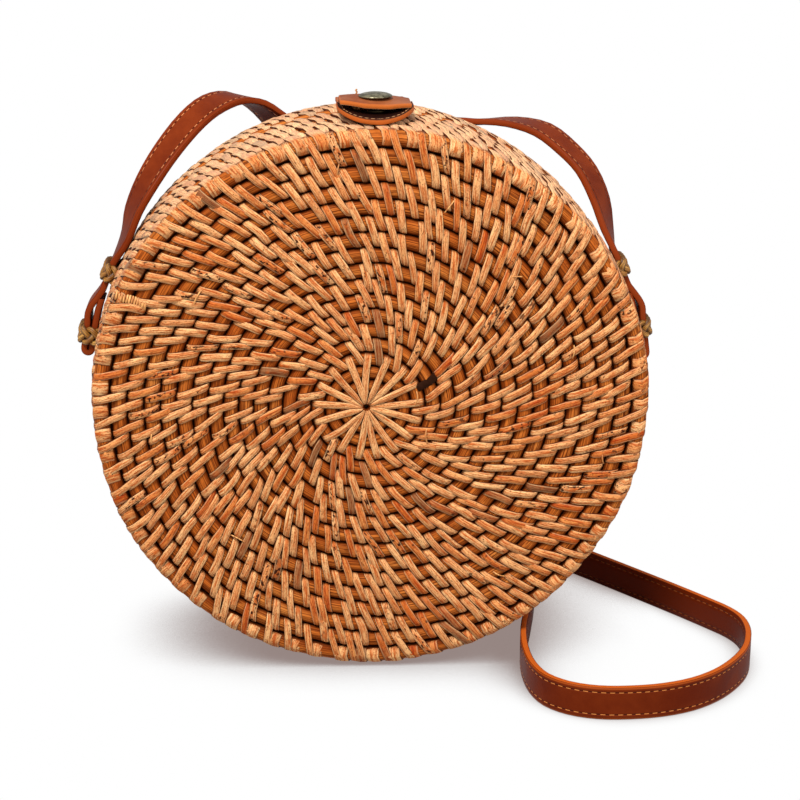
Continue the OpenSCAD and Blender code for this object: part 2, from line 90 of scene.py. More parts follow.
class Wires:
    """Places and joins the nodes of one material, world or group."""

    def __init__(self, tree, owner=None):
        self.tree = tree
        self.owner = owner

    def put(self, kind, props=None, **sockets):
        node = self.tree.nodes.new(kind)
        for key, value in (props or {}).items():
            setattr(node, key, value)
        for key, value in sockets.items():
            self.feed(node, key.replace("_", " "), value)
        return node

    def feed(self, node, key, value):
        if isinstance(value, bpy.types.NodeSocket):
            self.tree.links.new(value, node.inputs[key])
        else:
            node.inputs[key].default_value = value

    def fill(self, kind, values, **props):
        """Adds a node, feeds its sockets in order and gives its first output."""
        node = self.put(kind, props)
        for key, value in enumerate(values):
            self.feed(node, key, value)
        return node.outputs[0]

    def math(self, kind, a, b=0.0, clamp=False):
        return self.fill("ShaderNodeMath", (a, b, 0.0), operation=kind, use_clamp=clamp)

    def mul(self, a, b):
        return self.math("MULTIPLY", a, b)

    def add(self, a, b):
        return self.math("ADD", a, b)

    def sub(self, a, b):
        return self.math("SUBTRACT", a, b)

    def abs(self, a):
        return self.math("ABSOLUTE", a)

    def span(self, value, low, high, to_low=0.0, to_high=1.0, curve="SMOOTHSTEP"):
        return self.fill("ShaderNodeMapRange", (value, low, high, to_low, to_high),
                         interpolation_type=curve)

    def blend(self, share, a, b, kind="MIX"):
        node = self.put("ShaderNodeMix", {"data_type": "RGBA", "blend_type": kind})
        for key, value in zip((0, 6, 7), (share, a, b)):
            self.feed(node, key, value)
        return node.outputs[2]

    def coats(self, colour, *layers):
        """Lays further colours over the first, each with its share."""
        for share, over in layers:
            colour = self.blend(share, colour, over)
        return colour

    def ramp(self, share, *stops):
        """Colours along a share: each stop is its place and a tone."""
        node = self.put("ShaderNodeValToRGB", Fac=share)
        band = node.color_ramp.elements
        while len(band) < len(stops):
            band.new(1.0)
        for element, (at, *parts) in zip(band, stops):
            element.position = at
            element.color = tone(*parts)
        return node.outputs[0]

    def mix(self, share, a, b):
        return self.fill("ShaderNodeMixShader", (share, a, b))

    def vector(self, x, y, z):
        return self.fill("ShaderNodeCombineXYZ", (x, y, z))

    def parts(self, value):
        return tuple(self.put("ShaderNodeSeparateXYZ", Vector=value).outputs)

    def noise(self, place, scale, detail=2.0, rough=0.5, warp=0.0):
        return self.put("ShaderNodeTexNoise", Vector=place, Scale=scale, Detail=detail,
                        Roughness=rough, Distortion=warp).outputs[0]

    def cells(self, place, scale):
        return self.put("ShaderNodeTexVoronoi", Vector=place, Scale=scale).outputs[0]

    def attribute(self, name):
        node = self.put("ShaderNodeAttribute", {"attribute_name": name})
        return self.parts(node.outputs["Vector"])

    def place(self):
        return self.put("ShaderNodeTexCoord").outputs["Object"]

    def bump(self, height, strength, distance):
        return self.put("ShaderNodeBump", Strength=strength, Distance=distance,
                        Height=height).outputs[0]

    def group(self, tree, **sockets):
        return tuple(self.put("ShaderNodeGroup", {"node_tree": tree}, **sockets).outputs)

    def close(self, **results):
        """Ends a group with its results and gives its tree."""
        self.put("NodeGroupOutput", **results)
        return self.tree


def tone(red, green, blue):
    """A colour given as it should look, from 0 to 255."""
    out = []
    for part in (red, green, blue):
        part /= 255.0
        out.append(part / 12.92 if part <= 0.04045 else ((part + 0.055) / 1.055) ** 2.4)
    return (out[0], out[1], out[2], 1.0)


def grey(value):
    return (value, value, value, 1.0)


def clear_nodes(owner):
    """Wires for the emptied tree of a material or world."""
    owner.use_nodes = True
    owner.node_tree.nodes.clear()
    return Wires(owner.node_tree, owner)


def new_material(name):
    return clear_nodes(bpy.data.materials.new(name))


def finish_surface(w, colour, rough, normal, **plain):
    """Ends a material with its surface shader and gives the material."""
    shader = w.put("ShaderNodeBsdfPrincipled", Base_Color=colour, Roughness=rough,
                   Normal=normal, **plain)
    w.put("ShaderNodeOutputMaterial", Surface=shader.outputs[0])
    return w.owner


def new_group(name, inputs, outputs):
    """A shared effect: numbers in have a plain value, places in have None, numbers come out."""
    tree = bpy.data.node_groups.new(name, "ShaderNodeTree")
    for key, value in inputs.items():
        kind = "NodeSocketVector" if value is None else "NodeSocketFloat"
        socket = tree.interface.new_socket(key, in_out="INPUT", socket_type=kind)
        if value is not None:
            socket.default_value = value
    for key in outputs:
        tree.interface.new_socket(key, in_out="OUTPUT", socket_type="NodeSocketFloat")
    w = Wires(tree)
    return w, w.put("NodeGroupInput").outputs


def build_fibre_group():
    """Long fibres with short dark pores, along the second part of the given place in mm."""
    w, given = new_group("fibres", {"Place": None, "Density": 2.4}, ("Streaks", "Pores"))
    across, along, seed = w.parts(given["Place"])
    lanes = w.mul(across, given["Density"])
    streaks = w.noise(w.vector(lanes, w.mul(along, 0.10), seed), 1.6, 3.0, 0.62, 0.15)
    ticks = w.vector(w.mul(lanes, 1.7), w.mul(along, 0.42), seed)
    return w.close(Streaks=streaks, Pores=w.span(w.noise(ticks, 2.2, 1.0), 0.60, 0.72))


def build_leather_group():
    """Fine pebble and pull-up shading of tanned leather on a place in metres."""
    w, given = new_group("leather_grain", {"Place": None}, ("Height", "Cloud"))
    place = given["Place"]
    fine = w.mul(w.noise(place, 2600.0, 3.0, 0.6), 0.3)
    crease = w.mul(w.noise(place, 420.0, 3.0, 0.55), 0.5)
    height = w.add(w.mul(w.cells(place, 1700.0), 0.6), w.add(fine, crease))
    return w.close(Height=height, Cloud=w.noise(place, 75.0, 4.0, 0.6))


def build_stitch_group():
    """A row of stitches on both edges: lengths in mm."""
    w, given = new_group("stitch_row", {"Across": 0.0, "Along": 0.0, "Line": 4.5, "Pitch": 3.7,
                                        "Share": 0.68, "Width": 0.3},
                         ("Thread", "Groove", "Hole"))
    width = given["Width"]
    off = w.abs(w.sub(w.abs(given["Across"]), given["Line"]))
    turn = w.math("FRACT", w.math("DIVIDE", given["Along"], given["Pitch"]))
    centre = w.abs(w.sub(turn, 0.5))
    half = w.mul(given["Share"], 0.5)
    inside = w.span(centre, half, w.sub(half, 0.05))
    edge = w.span(off, width, w.mul(width, 0.6))
    hole = w.span(centre, w.add(half, 0.01), w.add(half, 0.09))
    near = w.span(off, w.mul(width, 1.3), w.mul(width, 0.5))
    return w.close(Thread=w.mul(inside, edge), Groove=w.span(off, w.mul(width, 2.6), 0.0),
                   Hole=w.mul(hole, near))


FIBRES = build_fibre_group()
LEATHER = build_leather_group()
STITCHES = build_stitch_group()


def make_strip_material():
    """Split rattan peel: pale and fibred, uneven from strip to strip, with painted shade on the
    rounded ends where they dive between the rows.
    """
    w = new_material("split_rattan_peel")
    across, along, seed = w.attribute("lay")
    # tint: random tone share, wear, and the painted shade at the strip ends
    shade, wear, ends = w.attribute("tint")
    place = w.place()
    base = w.ramp(shade, (0.0, 140, 92, 56), (0.025, 168, 112, 68), (0.045, 198, 98, 32),
                  (0.13, 214, 132, 66), (0.30, 229, 160, 98), (0.70, 238, 182, 122),
                  (1.0, 216, 150, 92))
    streaks, pores = w.group(FIBRES, Place=w.vector(across, along, w.mul(seed, 40.0)))
    deep = w.blend(1.0, base, tone(200, 130, 76), "MULTIPLY")
    patch = w.noise(w.vector(w.mul(across, 0.5), w.mul(along, 0.25), w.mul(seed, 90.0)), 1.0)
    soot = w.noise(place, 520.0, 4.0, 0.7)
    mottle = w.noise(place, 2300.0, 3.0, 0.65)
    torn = w.noise(w.vector(across, w.mul(along, 0.4), w.mul(seed, 70.0)), 1.4, 2.0, 0.6)
    # the top of the wall is painted paler towards the face: partly paler strips, partly a painted
    # highlight from the light above
    _, y, z = w.parts(place)
    worn = w.mul(w.span(y, -0.038, -0.033), w.span(z, 0.12, 0.19))
    off = w.abs(across)
    body = w.coats(
        w.blend(w.span(streaks, 0.36, 0.60), deep, base),
        (w.mul(pores, 0.85), tone(112, 54, 18)),
        (w.mul(w.span(patch, 0.52, 0.68), w.mul(wear, 0.9)), tone(186, 88, 28)),
        (w.mul(w.span(soot, 0.60, 0.67), w.span(wear, 0.35, 0.8)), tone(70, 30, 8)),
        (w.span(mottle, 0.5, 0.68, 0.0, 0.5), tone(150, 80, 34)),
        (w.mul(w.span(torn, 0.54, 0.62), w.span(wear, 0.80, 0.9)), tone(58, 22, 4)),
        # partly painted highlight: the paler top of the wall
        (w.mul(worn, 0.36), tone(244, 212, 172)),
        (w.mul(w.span(off, 0.55, 0.8), 0.3), tone(250, 204, 148)),
        # painted shade: the ends darken where they dive between the rows
        (w.span(ends, 0.55, 0.95), tone(88, 32, 2)),
        # painted shade along both edges, where the strip meets the cores below
        (w.span(off, 0.82, 0.96), tone(72, 22, 0)))
    height = w.add(w.mul(streaks, 0.9), w.mul(pores, -0.5))
    return finish_surface(w, body, w.span(streaks, 0.2, 0.8, 0.66, 0.5),
                          w.bump(height, 0.9, 0.00028), Specular_IOR_Level=0.1)


def make_core_material():
    """The round rattan core under the strips: orange, with fine dark lines along each row, and
    painted shade where it turns away into the gaps.
    """
    w = new_material("rattan_core")
    turn, row, gap_shade_depth = w.attribute("lay")
    place = w.place()
    cloud = w.noise(place, 95.0, 3.0, 0.6)
    lines = w.noise(w.vector(w.mul(turn, 5.2), row, w.mul(cloud, 1.4)), 1.5, 2.0, 0.6)
    speck = w.span(w.noise(place, 900.0, 2.0, 0.6), 0.62, 0.74)
    body = w.coats(
        w.ramp(w.noise(place, 38.0, 3.0, 0.6), (0.28, 166, 74, 18), (0.5, 190, 100, 34),
               (0.72, 208, 126, 56)),
        (w.span(lines, 0.58, 0.40), tone(104, 44, 8)),
        (w.mul(speck, 0.5), tone(94, 42, 14)),
        # painted shade: darker and then near black as the core turns away into the gaps
        (w.span(gap_shade_depth, 0.15, 0.72, 0.0, 0.75), tone(110, 40, 2)),
        (w.span(gap_shade_depth, 0.6, 0.95), tone(38, 10, 0)))
    return finish_surface(w, body, w.span(lines, 0.3, 0.7, 0.75, 0.55),
                          w.bump(lines, 0.6, 0.0003), Specular_IOR_Level=0.06)


def make_gap_material():
    """Painted shade for what shows deep between the rows: a dark brown, mottled a little."""
    w = new_material("shaded_gap")
    shade_mottle = w.noise(w.place(), 600.0, 3.0, 0.6)
    return finish_surface(w, w.blend(shade_mottle, tone(26, 9, 0), tone(50, 20, 4)),
                          w.span(shade_mottle, 0.2, 0.8, 0.95, 0.8), w.bump(shade_mottle, 0.4, 0.0003),
                          Specular_IOR_Level=0.1)


def make_strap_material():
    """Tanned leather band: sheen, stitched edges, raw under side and a cut edge, with painted
    light and shade that change with height above the floor.
    """
    w = new_material("strap_leather_tan")
    face, dark = tone(120, 44, 9), tone(98, 30, 3)
    under, yarn = tone(84, 24, 2), tone(214, 132, 66)
    across, along, side = w.attribute("lay")
    off = w.abs(across)
    half_w = STRAP_W / 2
    place = w.place()
    z = w.parts(place)[2]
    # height above the floor: it sets the painted light and shade below
    high = w.span(z, 0.06, 0.12)
    # painted highlight: the cut edge is brighter low on the floor loop than up on the arcs
    edge = w.blend(high, tone(190, 88, 22), tone(136, 53, 16))
    pebble, cloud = w.group(LEATHER, Place=place)
    # painted shade on the face of the floor loop, low by the floor
    top = w.coats(w.blend(w.span(cloud, 0.3, 0.7), dark, face),
                  (w.span(high, 0.0, 1.0, 0.35, 0.0), tone(80, 18, 0)))
    raw = w.blend(w.noise(place, 1500.0, 4.0, 0.7), under, w.blend(0.5, under, dark))
    cut = w.mul(w.math("LESS_THAN", w.abs(side), 0.3), w.span(off, half_w - 0.45, half_w - 0.15))
    layers = w.noise(w.vector(w.mul(side, 9.0), w.mul(along, 0.12), 0.0), 2.0, 3.0, 0.6)
    rim = w.mul(w.span(off, half_w - 0.9, half_w - 0.3), w.span(side, 0.5, 0.9))
    sewn = w.group(STITCHES, Across=across, Along=along, Line=4.15, Pitch=3.0, Share=0.6,
                   Width=0.18)
    on_face = w.math("GREATER_THAN", w.abs(side), 0.6)
    stitch, groove, hole = (w.mul(mask, on_face) for mask in sewn)
    # painted light and shade on the thread: darker up on the arcs, pale on their top
    yarn = w.coats(w.blend(w.span(side, -0.5, 0.5), w.blend(0.75, yarn, dark), yarn),
                   (high, tone(92, 30, 8)), (w.span(z, 0.166, 0.18), tone(206, 132, 82)))
    body = w.coats(
        w.blend(w.span(side, -0.35, -0.2), raw, top),
        (cut, w.blend(layers, edge, w.blend(0.35, edge, dark))),
        (w.mul(rim, 0.45), edge),
        # painted shade in the stitch grooves and holes, deeper up on the arcs
        (w.mul(groove, w.span(high, 0.0, 1.0, 0.2, 0.55)), dark),
        (w.mul(hole, w.span(high, 0.0, 1.0, 0.5, 1.0)), tone(50, 12, 2)),
        (stitch, yarn))
    height = w.add(w.mul(pebble, 0.16), w.sub(w.mul(stitch, 1.3), groove))
    height = w.sub(height, w.mul(hole, 1.5))
    rough = w.math("ADD", w.span(cloud, 0.2, 0.8, 0.36, 0.5), w.mul(cut, 0.25), clamp=True)
    return finish_surface(w, body, rough, w.bump(height, 0.6, 0.0003), Specular_IOR_Level=0.07)


def make_brass_material(name, dark, light):
    """Aged snap metal: greenish, dull in the hollows and rubbed brighter."""
    w = new_material(name)
    place = w.place()
    stain = w.noise(place, 420.0, 4.0, 0.65)
    return finish_surface(w, w.blend(w.span(stain, 0.35, 0.68), dark, light),
                          w.span(stain, 0.3, 0.7, 0.42, 0.26),
                          w.bump(w.noise(place, 3200.0), 0.12, 0.0002), Metallic=0.9)


def make_cloth_material():
    """Plain cotton lining with a visible thread count."""
    w = new_material("cotton_lining")
    across, along, _ = w.attribute("lay")
    cross = w.mul(w.math("SINE", w.mul(across, 9.4)), w.math("SINE", w.mul(along, 9.4)))
    slub = w.noise(w.vector(w.mul(across, 0.12), along, 0.0), 1.3, 3.0, 0.6)
    cloud = w.noise(w.place(), 60.0, 3.0, 0.6)
    colour = w.coats(w.blend(w.span(cross, -0.8, 0.8), tone(176, 148, 112), tone(222, 200, 166)),
                     (w.mul(w.span(slub, 0.5, 0.7), 0.35), tone(160, 128, 92)),
                     (w.mul(cloud, 0.25), tone(196, 170, 134)))
    return finish_surface(w, colour, w.span(cross, -1.0, 1.0, 0.95, 0.85),
                          w.bump(cross, 0.5, 0.0002), Specular_IOR_Level=0.15)


def make_floor():
    """A plain pale floor that keeps the bag's shadow."""
    bm = bmesh.new()
    bmesh.ops.create_grid(bm, x_segments=2, y_segments=2, size=4.0)
    mesh, _ = mesh_of(bm, "floor")
    floor = add_object(mesh)
    w = new_material("pale_floor")
    # lamp light passes the floor in front of the bag, where the opened half hangs down
    x, y, _ = w.parts(w.place())
    gone = w.mul(w.mul(w.span(y, -0.02, -0.035), w.span(y, -0.45, -0.40)),
                 w.mul(w.span(x, -0.23, -0.2), w.span(x, 0.2, 0.17)))
    solid = w.put("ShaderNodeBsdfDiffuse", Color=grey(0.62)).outputs[0]
    clear = w.put("ShaderNodeBsdfTransparent").outputs[0]
    # the camera sees a clear floor that darkens where the object keeps the light off it
    shade = w.put("ShaderNodeAmbientOcclusion", {"samples": 16}, Distance=0.05).outputs["AO"]
    veil = w.blend(w.span(shade, 0.2, 0.78), tone(150, 134, 130), grey(1.0))
    veil = w.put("ShaderNodeBsdfTransparent", Color=veil).outputs[0]
    seen = w.put("ShaderNodeLightPath").outputs["Is Camera Ray"]
    w.put("ShaderNodeOutputMaterial", Surface=w.mix(seen, w.mix(gone, solid, clear), veil))
    mesh.materials.append(w.owner)


def make_sky():
    """A white studio sky: bright to the camera, softer as light."""
    w = clear_nodes(bpy.data.worlds.new("sky"))
    path = w.put("ShaderNodeLightPath").outputs
    shown = w.math("MAXIMUM", path["Is Camera Ray"], path["Is Transmission Ray"])
    back = w.put("ShaderNodeBackground", Color=grey(1.0),
                 Strength=w.span(shown, 0.0, 1.0, 0.55, 1.0, "LINEAR"))
    w.put("ShaderNodeOutputWorld", Surface=back.outputs[0])
    bpy.context.scene.world = w.owner


LEAN = math.radians(21.0)
# Widths of the strips: on the face, on the wall, and of those that wrap the edge row
FACE_STRIP, WALL_STRIP, EDGE_STRIP = 2.8, 3.3, 4.8
FACE_ROWS = 17
WALL_ROWS = 5
RAYS = 17
# Strips stand this far apart along their row
STRIP_PITCH = 7.75


class Half:
    """The rows of one half: centre radius, depth and tube radius of each, from the middle out."""

    def __init__(self, name, side, flare, mean, edge_tube, first_step, wall_pitch, wall_tube,
                 seed, eye):
        self.name = name
        self.side = side
        self.flare = flare
        self.edge_z = FACE_Z - edge_tube
        self.wall_tube = wall_tube
        self.seed = seed
        self.eye = eye
        self.rows = []
        for n in range(FACE_ROWS + 1):
            r = 2.95 + mean * n * (1 - 0.11 * (1 - n / FACE_ROWS))
            tube = mean * (1 + 0.11 * (2 * n / FACE_ROWS - 1)) * 0.52
            if n == FACE_ROWS:
                tube = edge_tube
            self.rows.append((r, FACE_Z - tube, tube))
        for n in range(WALL_ROWS):
            z = self.edge_z - first_step - n * wall_pitch
            self.rows.append((self.wall_r(z) - wall_tube, z, wall_tube))
        self.rows.append(RIM_ROW)
        self.swell = np.random.RandomState(seed).uniform(0, TAU, 8)

    def wall_r(self, z):
        """Radius of the wall's outside at this depth."""
        return BAG_R - self.flare * (z / self.edge_z) ** 2.1

    def to_world(self, r, turn, z):
        """Places of points given by radius, angle and depth, after a slight unevenness."""
        s = self.swell
        out = 1.0 + (0.0016 * np.sin(5 * turn + s[0])
                     + 0.0012 * np.sin(11 * turn + 0.06 * r + s[1]))
        deep = (0.22 * np.sin(3 * turn + 0.09 * r + s[2])
                + 0.16 * np.sin(8 * turn - 0.13 * r + s[3]))
        fade = way(z, 8.0, 28.0)
        out = 1.0 + (out - 1.0) * fade
        z = z + deep * fade
        # the eye of the coil lies a little off the middle, and the rows even that out
        ease = way(r, 80.0, 0.0) ** 1.3
        x = r * out * np.cos(turn) + self.eye[0] * ease
        up = MID_Z + r * out * np.sin(turn) + self.eye[1] * ease
        return np.stack([self.side * x, -self.side * z, up], axis=-1) * MM


FRONT = Half("front", 1, 1.5, 5.436, 3.138, 5.426, 5.307, 2.760, 11, (-2.1, 0.0))
BACK = Half("back", -1, 3.5, 5.322, 3.072, 5.377, 5.332, 2.773, 29, (1.4, -0.8))


def way(value, low, high):
    """How far a value is on its way from low to high, from 0 to 1."""
    return np.clip((value - low) / (high - low), 0.0, 1.0)


def unit(arrows):
    return arrows / np.linalg.norm(arrows, axis=1)[:, None]


def mesh_of(bm, name):
    """The finished mesh, and its places as an array."""
    mesh = bpy.data.meshes.new(name)
    bm.to_mesh(mesh)
    bm.free()
    places = np.empty(len(mesh.vertices) * 3, dtype=np.float32)
    mesh.vertices.foreach_get("co", places)
    return mesh, places.reshape(-1, 3).astype(float)


def hang(mesh, material, body, node):
    """A smooth piece of this mesh that rides on a body in place of a CAD node."""
    mesh.polygons.foreach_set("use_smooth", np.ones(len(mesh.polygons), dtype=bool))
    mesh.materials.append(material)
    piece = add_object(mesh)
    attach(piece, body)
    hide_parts(node)
    return piece


def give_field(mesh, name, *parts):
    field = mesh.attributes.new(name, "FLOAT_VECTOR", "POINT")
    values = np.stack(parts, axis=-1)
    field.data.foreach_set("vector", np.ascontiguousarray(values, dtype=np.float32).ravel())


def set_places(mesh, places):
    mesh.vertices.foreach_set("co", np.ascontiguousarray(places, dtype=np.float32).ravel())
    mesh.update()


def draw_line(outline):
    """A line through places given by radius and height, to be spun."""
    bm = bmesh.new()
    verts = [bm.verts.new((r, 0, z)) for r, z in outline]
    for a, b in zip(verts, verts[1:]):
        bm.edges.new((a, b))
    return bm


def spin_round(bm, steps):
    bmesh.ops.spin(bm, geom=bm.verts[:] + bm.edges[:], cent=(0, 0, 0), axis=(0, 0, 1),
                   dvec=(0, 0, 0), angle=TAU, steps=steps, use_merge=True)
    bmesh.ops.remove_doubles(bm, verts=bm.verts[:], dist=0.001)
    bmesh.ops.recalc_face_normals(bm, faces=bm.faces[:])


def polar(places):
    x, y, z = places.T
    return np.hypot(x, y), np.arctan2(y, x), z


def many_grids(name, count, across, along):
    """One mesh with a small grid for every strip; also each vertex's grid places and strip."""
    bm = bmesh.new()
    bmesh.ops.create_grid(bm, x_segments=across, y_segments=along, size=1.0)
    one = len(bm.verts)
    while len(bm.verts) < one * count:
        bmesh.ops.duplicate(bm, geom=bm.verts[:] + bm.edges[:] + bm.faces[:])
    bm.verts.ensure_lookup_table()
    bmesh.ops.delete(bm, geom=bm.verts[one * count:], context="VERTS")
    mesh, places = mesh_of(bm, name)
    i = np.rint((places[:, 0] + 1) / 2 * across).astype(int)
    j = np.rint((places[:, 1] + 1) / 2 * along).astype(int)
    return mesh, i, j, np.repeat(np.arange(count), one)


def face_out(mesh, middle):
    """Turns all faces over if the first ones point to the middle."""
    face = mesh.polygons[len(mesh.polygons) // 2]
    if (face.center - Vector(middle)).dot(face.normal) < 0:
        mesh.flip_normals()


def spread_ring(places, wanted, rng):
    """Adds strips in the widest gaps until there are enough, and evens the spacing a little."""
    places = np.sort(np.mod(places, TAU))
    while len(places) < wanted:
        gaps = np.diff(np.append(places, places[0] + TAU))
        at = int(np.argmax(gaps * rng.uniform(0.93, 1.07, len(gaps))))
        places = np.sort(np.append(places, places[at] + gaps[at] / 2))
        for _ in range(6):
            before = np.roll(places, 1)
            before[0] -= TAU
            after = np.roll(places, -1)
            after[-1] += TAU
            places = places + 0.35 * ((before + after) / 2 - places)
    return places


def strip_width(ring):
    if ring == FACE_ROWS:
        return EDGE_STRIP
    return FACE_STRIP if ring < FACE_ROWS else WALL_STRIP


def plan_rings(half):
    """For each ring of strips, the angles at which they cross its inner row."""
    rng = np.random.RandomState(half.seed)
    rows = half.rows
    ends = math.pi / 2 + np.arange(RAYS) * TAU / RAYS
    plan = []
    for m in range(3, len(rows) - 1):
        reach = min(rows[m][0] + (rows[m][2] if m >= FACE_ROWS else 0.0), 100.0)
        turned = np.sort(np.mod(ends, TAU))
        apart = (strip_width(m - 1) + min(strip_width(m), 4.1)) / 2
        begin = turned + (apart + 0.2) / reach
        next_reach = rows[m + 1][0] + (rows[m + 1][2] if m >= FACE_ROWS else 0.0)
        middle = (reach + next_reach) / 2
        wanted = max(len(begin), int(round(TAU * middle / STRIP_PITCH)))
        begin = spread_ring(begin, wanted, rng)
        begin = begin + rng.normal(0, 0.16, len(begin)) / reach
        gap = (apart - 0.2) / reach
        for n, angle in enumerate(begin):
            off = np.mod(angle - turned + math.pi, TAU) - math.pi
            near = off[np.argmin(np.abs(off))]
            if abs(near) < gap:
                begin[n] += (gap if near >= 0 else -gap) - near
        plan.append((m, np.sort(begin)))
        step = math.hypot(rows[m + 1][0] - rows[m][0], rows[m + 1][1] - rows[m][1])
        ends = begin + step * math.tan(LEAN) / middle
    return plan


# Strip template: places across and their height, then its narrowing and the painted shade of its
# ends along the path, where they dive between the rows
ACROSS = np.array([-1.0, -0.93, 0.0, 0.93, 1.0])
ACROSS_H = np.array([-0.78, -0.06, 0.14, -0.06, -0.78])
PINCH = np.array([0.80, 0.90, 0.97, 1.0, 1.0, 1.0, 0.97, 0.90, 0.80])
DIVE_SHADE = np.array([1.0, 0.82, 0.45, 0.1, 0.0, 0.1, 0.45, 0.82, 1.0])
# The path over two rows: angle on the row in degrees, and height above it in mm
COURSE = ([-84, -60, -32, 0, 0, 0, 32, 60, 84],
          [-0.55, 0.08, 0.40, 0.50, 0.42, 0.50, 0.40, 0.08, -0.55])
COURSES = {
    FACE_ROWS - 1: ([-84, -60, -32, 0, 0, 0, 44, 88, 128],
                    [-0.55, 0.08, 0.40, 0.50, 0.42, 0.46, 0.40, 0.34, -0.3]),
    FACE_ROWS: ([-158, -118, -72, -24, 0, 0, 32, 60, 84],
                [-0.5, 0.2, 0.34, 0.36, 0.34, 0.42, 0.34, 0.08, -0.55]),
    FACE_ROWS + WALL_ROWS: ([-84, -60, -32, 0, 0, 0, 22, 42, 62],
                            [-0.55, 0.02, 0.26, 0.34, 0.26, 0.34, 0.24, 0.0, -0.6])}


def lay_strips(half, rings, name, seed, bare=()):
    """All strips of these rings as one piece: each lies over two rows and dives in at its ends."""
    rng = np.random.RandomState(seed)
    rows = half.rows
    jobs = [(m, angle) for m, angles in rings for angle in angles]
    for x, y in bare:
        away = []
        for m, angle in jobs:
            r = (rows[m][0] + rows[m + 1][0]) / 2
            away.append(math.hypot(math.cos(angle) * r - x, math.sin(angle) * r - y))
        del jobs[int(np.argmin(away))]
    count = len(jobs)
    ring = np.array([m for m, _ in jobs])
    mesh, i, j, k = many_grids(name, count, 4, 8)
    path, up = np.zeros((2, count, 9, 2))
    run = np.zeros((count, 9))
    wide = np.array([strip_width(m) for m in ring])
    wide = wide + np.clip(rng.normal(0, 0.18, count), -0.6, 0.2)
    lean = LEAN + np.radians(rng.normal(0, 3.4, count))
    lift = rng.normal(0, 0.07, count)
    for n, m in enumerate(ring):
        a, b = np.array(rows[m][:2]), np.array(rows[m + 1][:2])
        along = (b - a) / np.linalg.norm(b - a)
        out = np.array([-along[1], along[0]])
        for s, (bend, raised) in enumerate(zip(*COURSES.get(m, COURSE))):
            bend = math.radians(bend)
            d = out * math.cos(bend) + along * math.sin(bend)
            low = a + d * (rows[m][2] + raised + lift[n])
            high = b + d * (rows[m + 1][2] + raised + lift[n])
            path[n, s] = low if s < 4 else high if s > 4 else (low + high) / 2
            up[n, s] = d
        run[n] = (path[n] - path[n, 4]) @ along
    reach = path[:, 4, 0]
    length = np.concatenate([np.zeros((count, 1)), np.cumsum(
        np.linalg.norm(np.diff(path, axis=1), axis=2), axis=1)], axis=1)
    ahead = np.array([math.dist(rows[m][:2], rows[m + 1][:2]) / 2 for m in ring]) * np.tan(LEAN)
    middle = np.array([angle for _, angle in jobs]) + ahead / reach
    twist = rng.normal(0, 0.09, count)
    bow = rng.normal(0, 0.24, count)
    height = ACROSS_H[i] + ACROSS[i] * twist[k] * (np.abs(ACROSS[i]) > 0.5)
    r = path[k, j, 0] + up[k, j, 0] * height
    z = path[k, j, 1] + up[k, j, 1] * height
    shift = run[k, j] * np.tan(lean[k]) + bow[k] * (1 - (run[k, j] / 5.0) ** 2)
    # strips keep their width where they turn over the edge row
    on_edge = np.isin(ring, (FACE_ROWS - 1, FACE_ROWS))[k]
    full = on_edge & ((j > 4) | ((j < 4) & (wide[k] > 4.0)))
    half_wide = wide[k] / 2 * np.where(full, 1.0, PINCH[j]) / math.cos(LEAN)
    turn = middle[k] + (shift + ACROSS[i] * half_wide) / np.maximum(r, reach[k] * 0.9)
    set_places(mesh, half.to_world(r, turn, np.maximum(z, 0.14)))
    seeds = rng.uniform(0, 1, count)
    shade = rng.uniform(0, 1, count)
    if half.side < 0:
        # the back half has greyed strips
        shade = np.where(rng.uniform(0, 1, count) < 0.35, 0.05 * shade, shade)
    wear = rng.uniform(0, 1, count) ** 1.4
    # the wall rows get less of the painted shade at the strip ends
    dive_shade_share = np.where(ring >= FACE_ROWS, 0.78, 1.0)
    give_field(mesh, "lay", ACROSS[i], length[k, j], seeds[k])
    give_field(mesh, "tint", shade[k], wear[k], DIVE_SHADE[j] * dive_shade_share[k])
    return mesh


def lay_rays(half):
    """The rosette: 17 flat strips from the centre hole, the first one pointing up."""
    rng = np.random.RandomState(half.seed + 3)
    mesh, i, j, k = many_grids(half.name + "_rosette_rays", RAYS, 4, 12)
    far = np.array([1.0, 1.5, 2.6, 4.2, 6.0, 8.0, 10.2, 12.4, 14.6, 16.6, 18.2, 19.5, 20.3])
    drop = np.array([-2.6, -0.5, 0.0, 0.0, 0.02, 0.0, -0.04, 0.0, -0.05, 0.0, -0.25, -0.9, -2.4])
    wide = np.minimum(TAU * far / RAYS * 1.12, 2.3 + far * 0.03)
    wide[-3:] *= (0.97, 0.9, 0.8)
    high = rng.uniform(-0.16, 0.2, RAYS)
    bent = rng.normal(0, 0.5, RAYS)
    r = far[j]
    z = FACE_Z + 0.3 + drop[j] + high[k] * way(r, 16.0, 6.0) + ACROSS_H[i] * 0.9
    swing = bent[k] * np.sin(np.pi * way(r, 0, 19.0)) + 0.2 * (1 - way(r, 1.0, 7.0))
    turn = math.pi / 2 + k * TAU / RAYS + (swing + ACROSS[i] * wide[j] / 2) / r
    set_places(mesh, half.to_world(r, turn, z))
    seeds = rng.uniform(0, 1, RAYS)
    shade = rng.uniform(0.5, 0.95, RAYS)
    # painted shade where the rays dive into the centre hole and under the first row
    dark = np.interp(r, [1.0, 1.5, 3.0, 17.5, 19.3, 20.3], [0.95, 0.5, 0.1, 0.1, 0.7, 1.0])
    give_field(mesh, "lay", ACROSS[i], r, seeds[k])
    give_field(mesh, "tint", shade[k], 0.4 * seeds[k], dark)
    return mesh


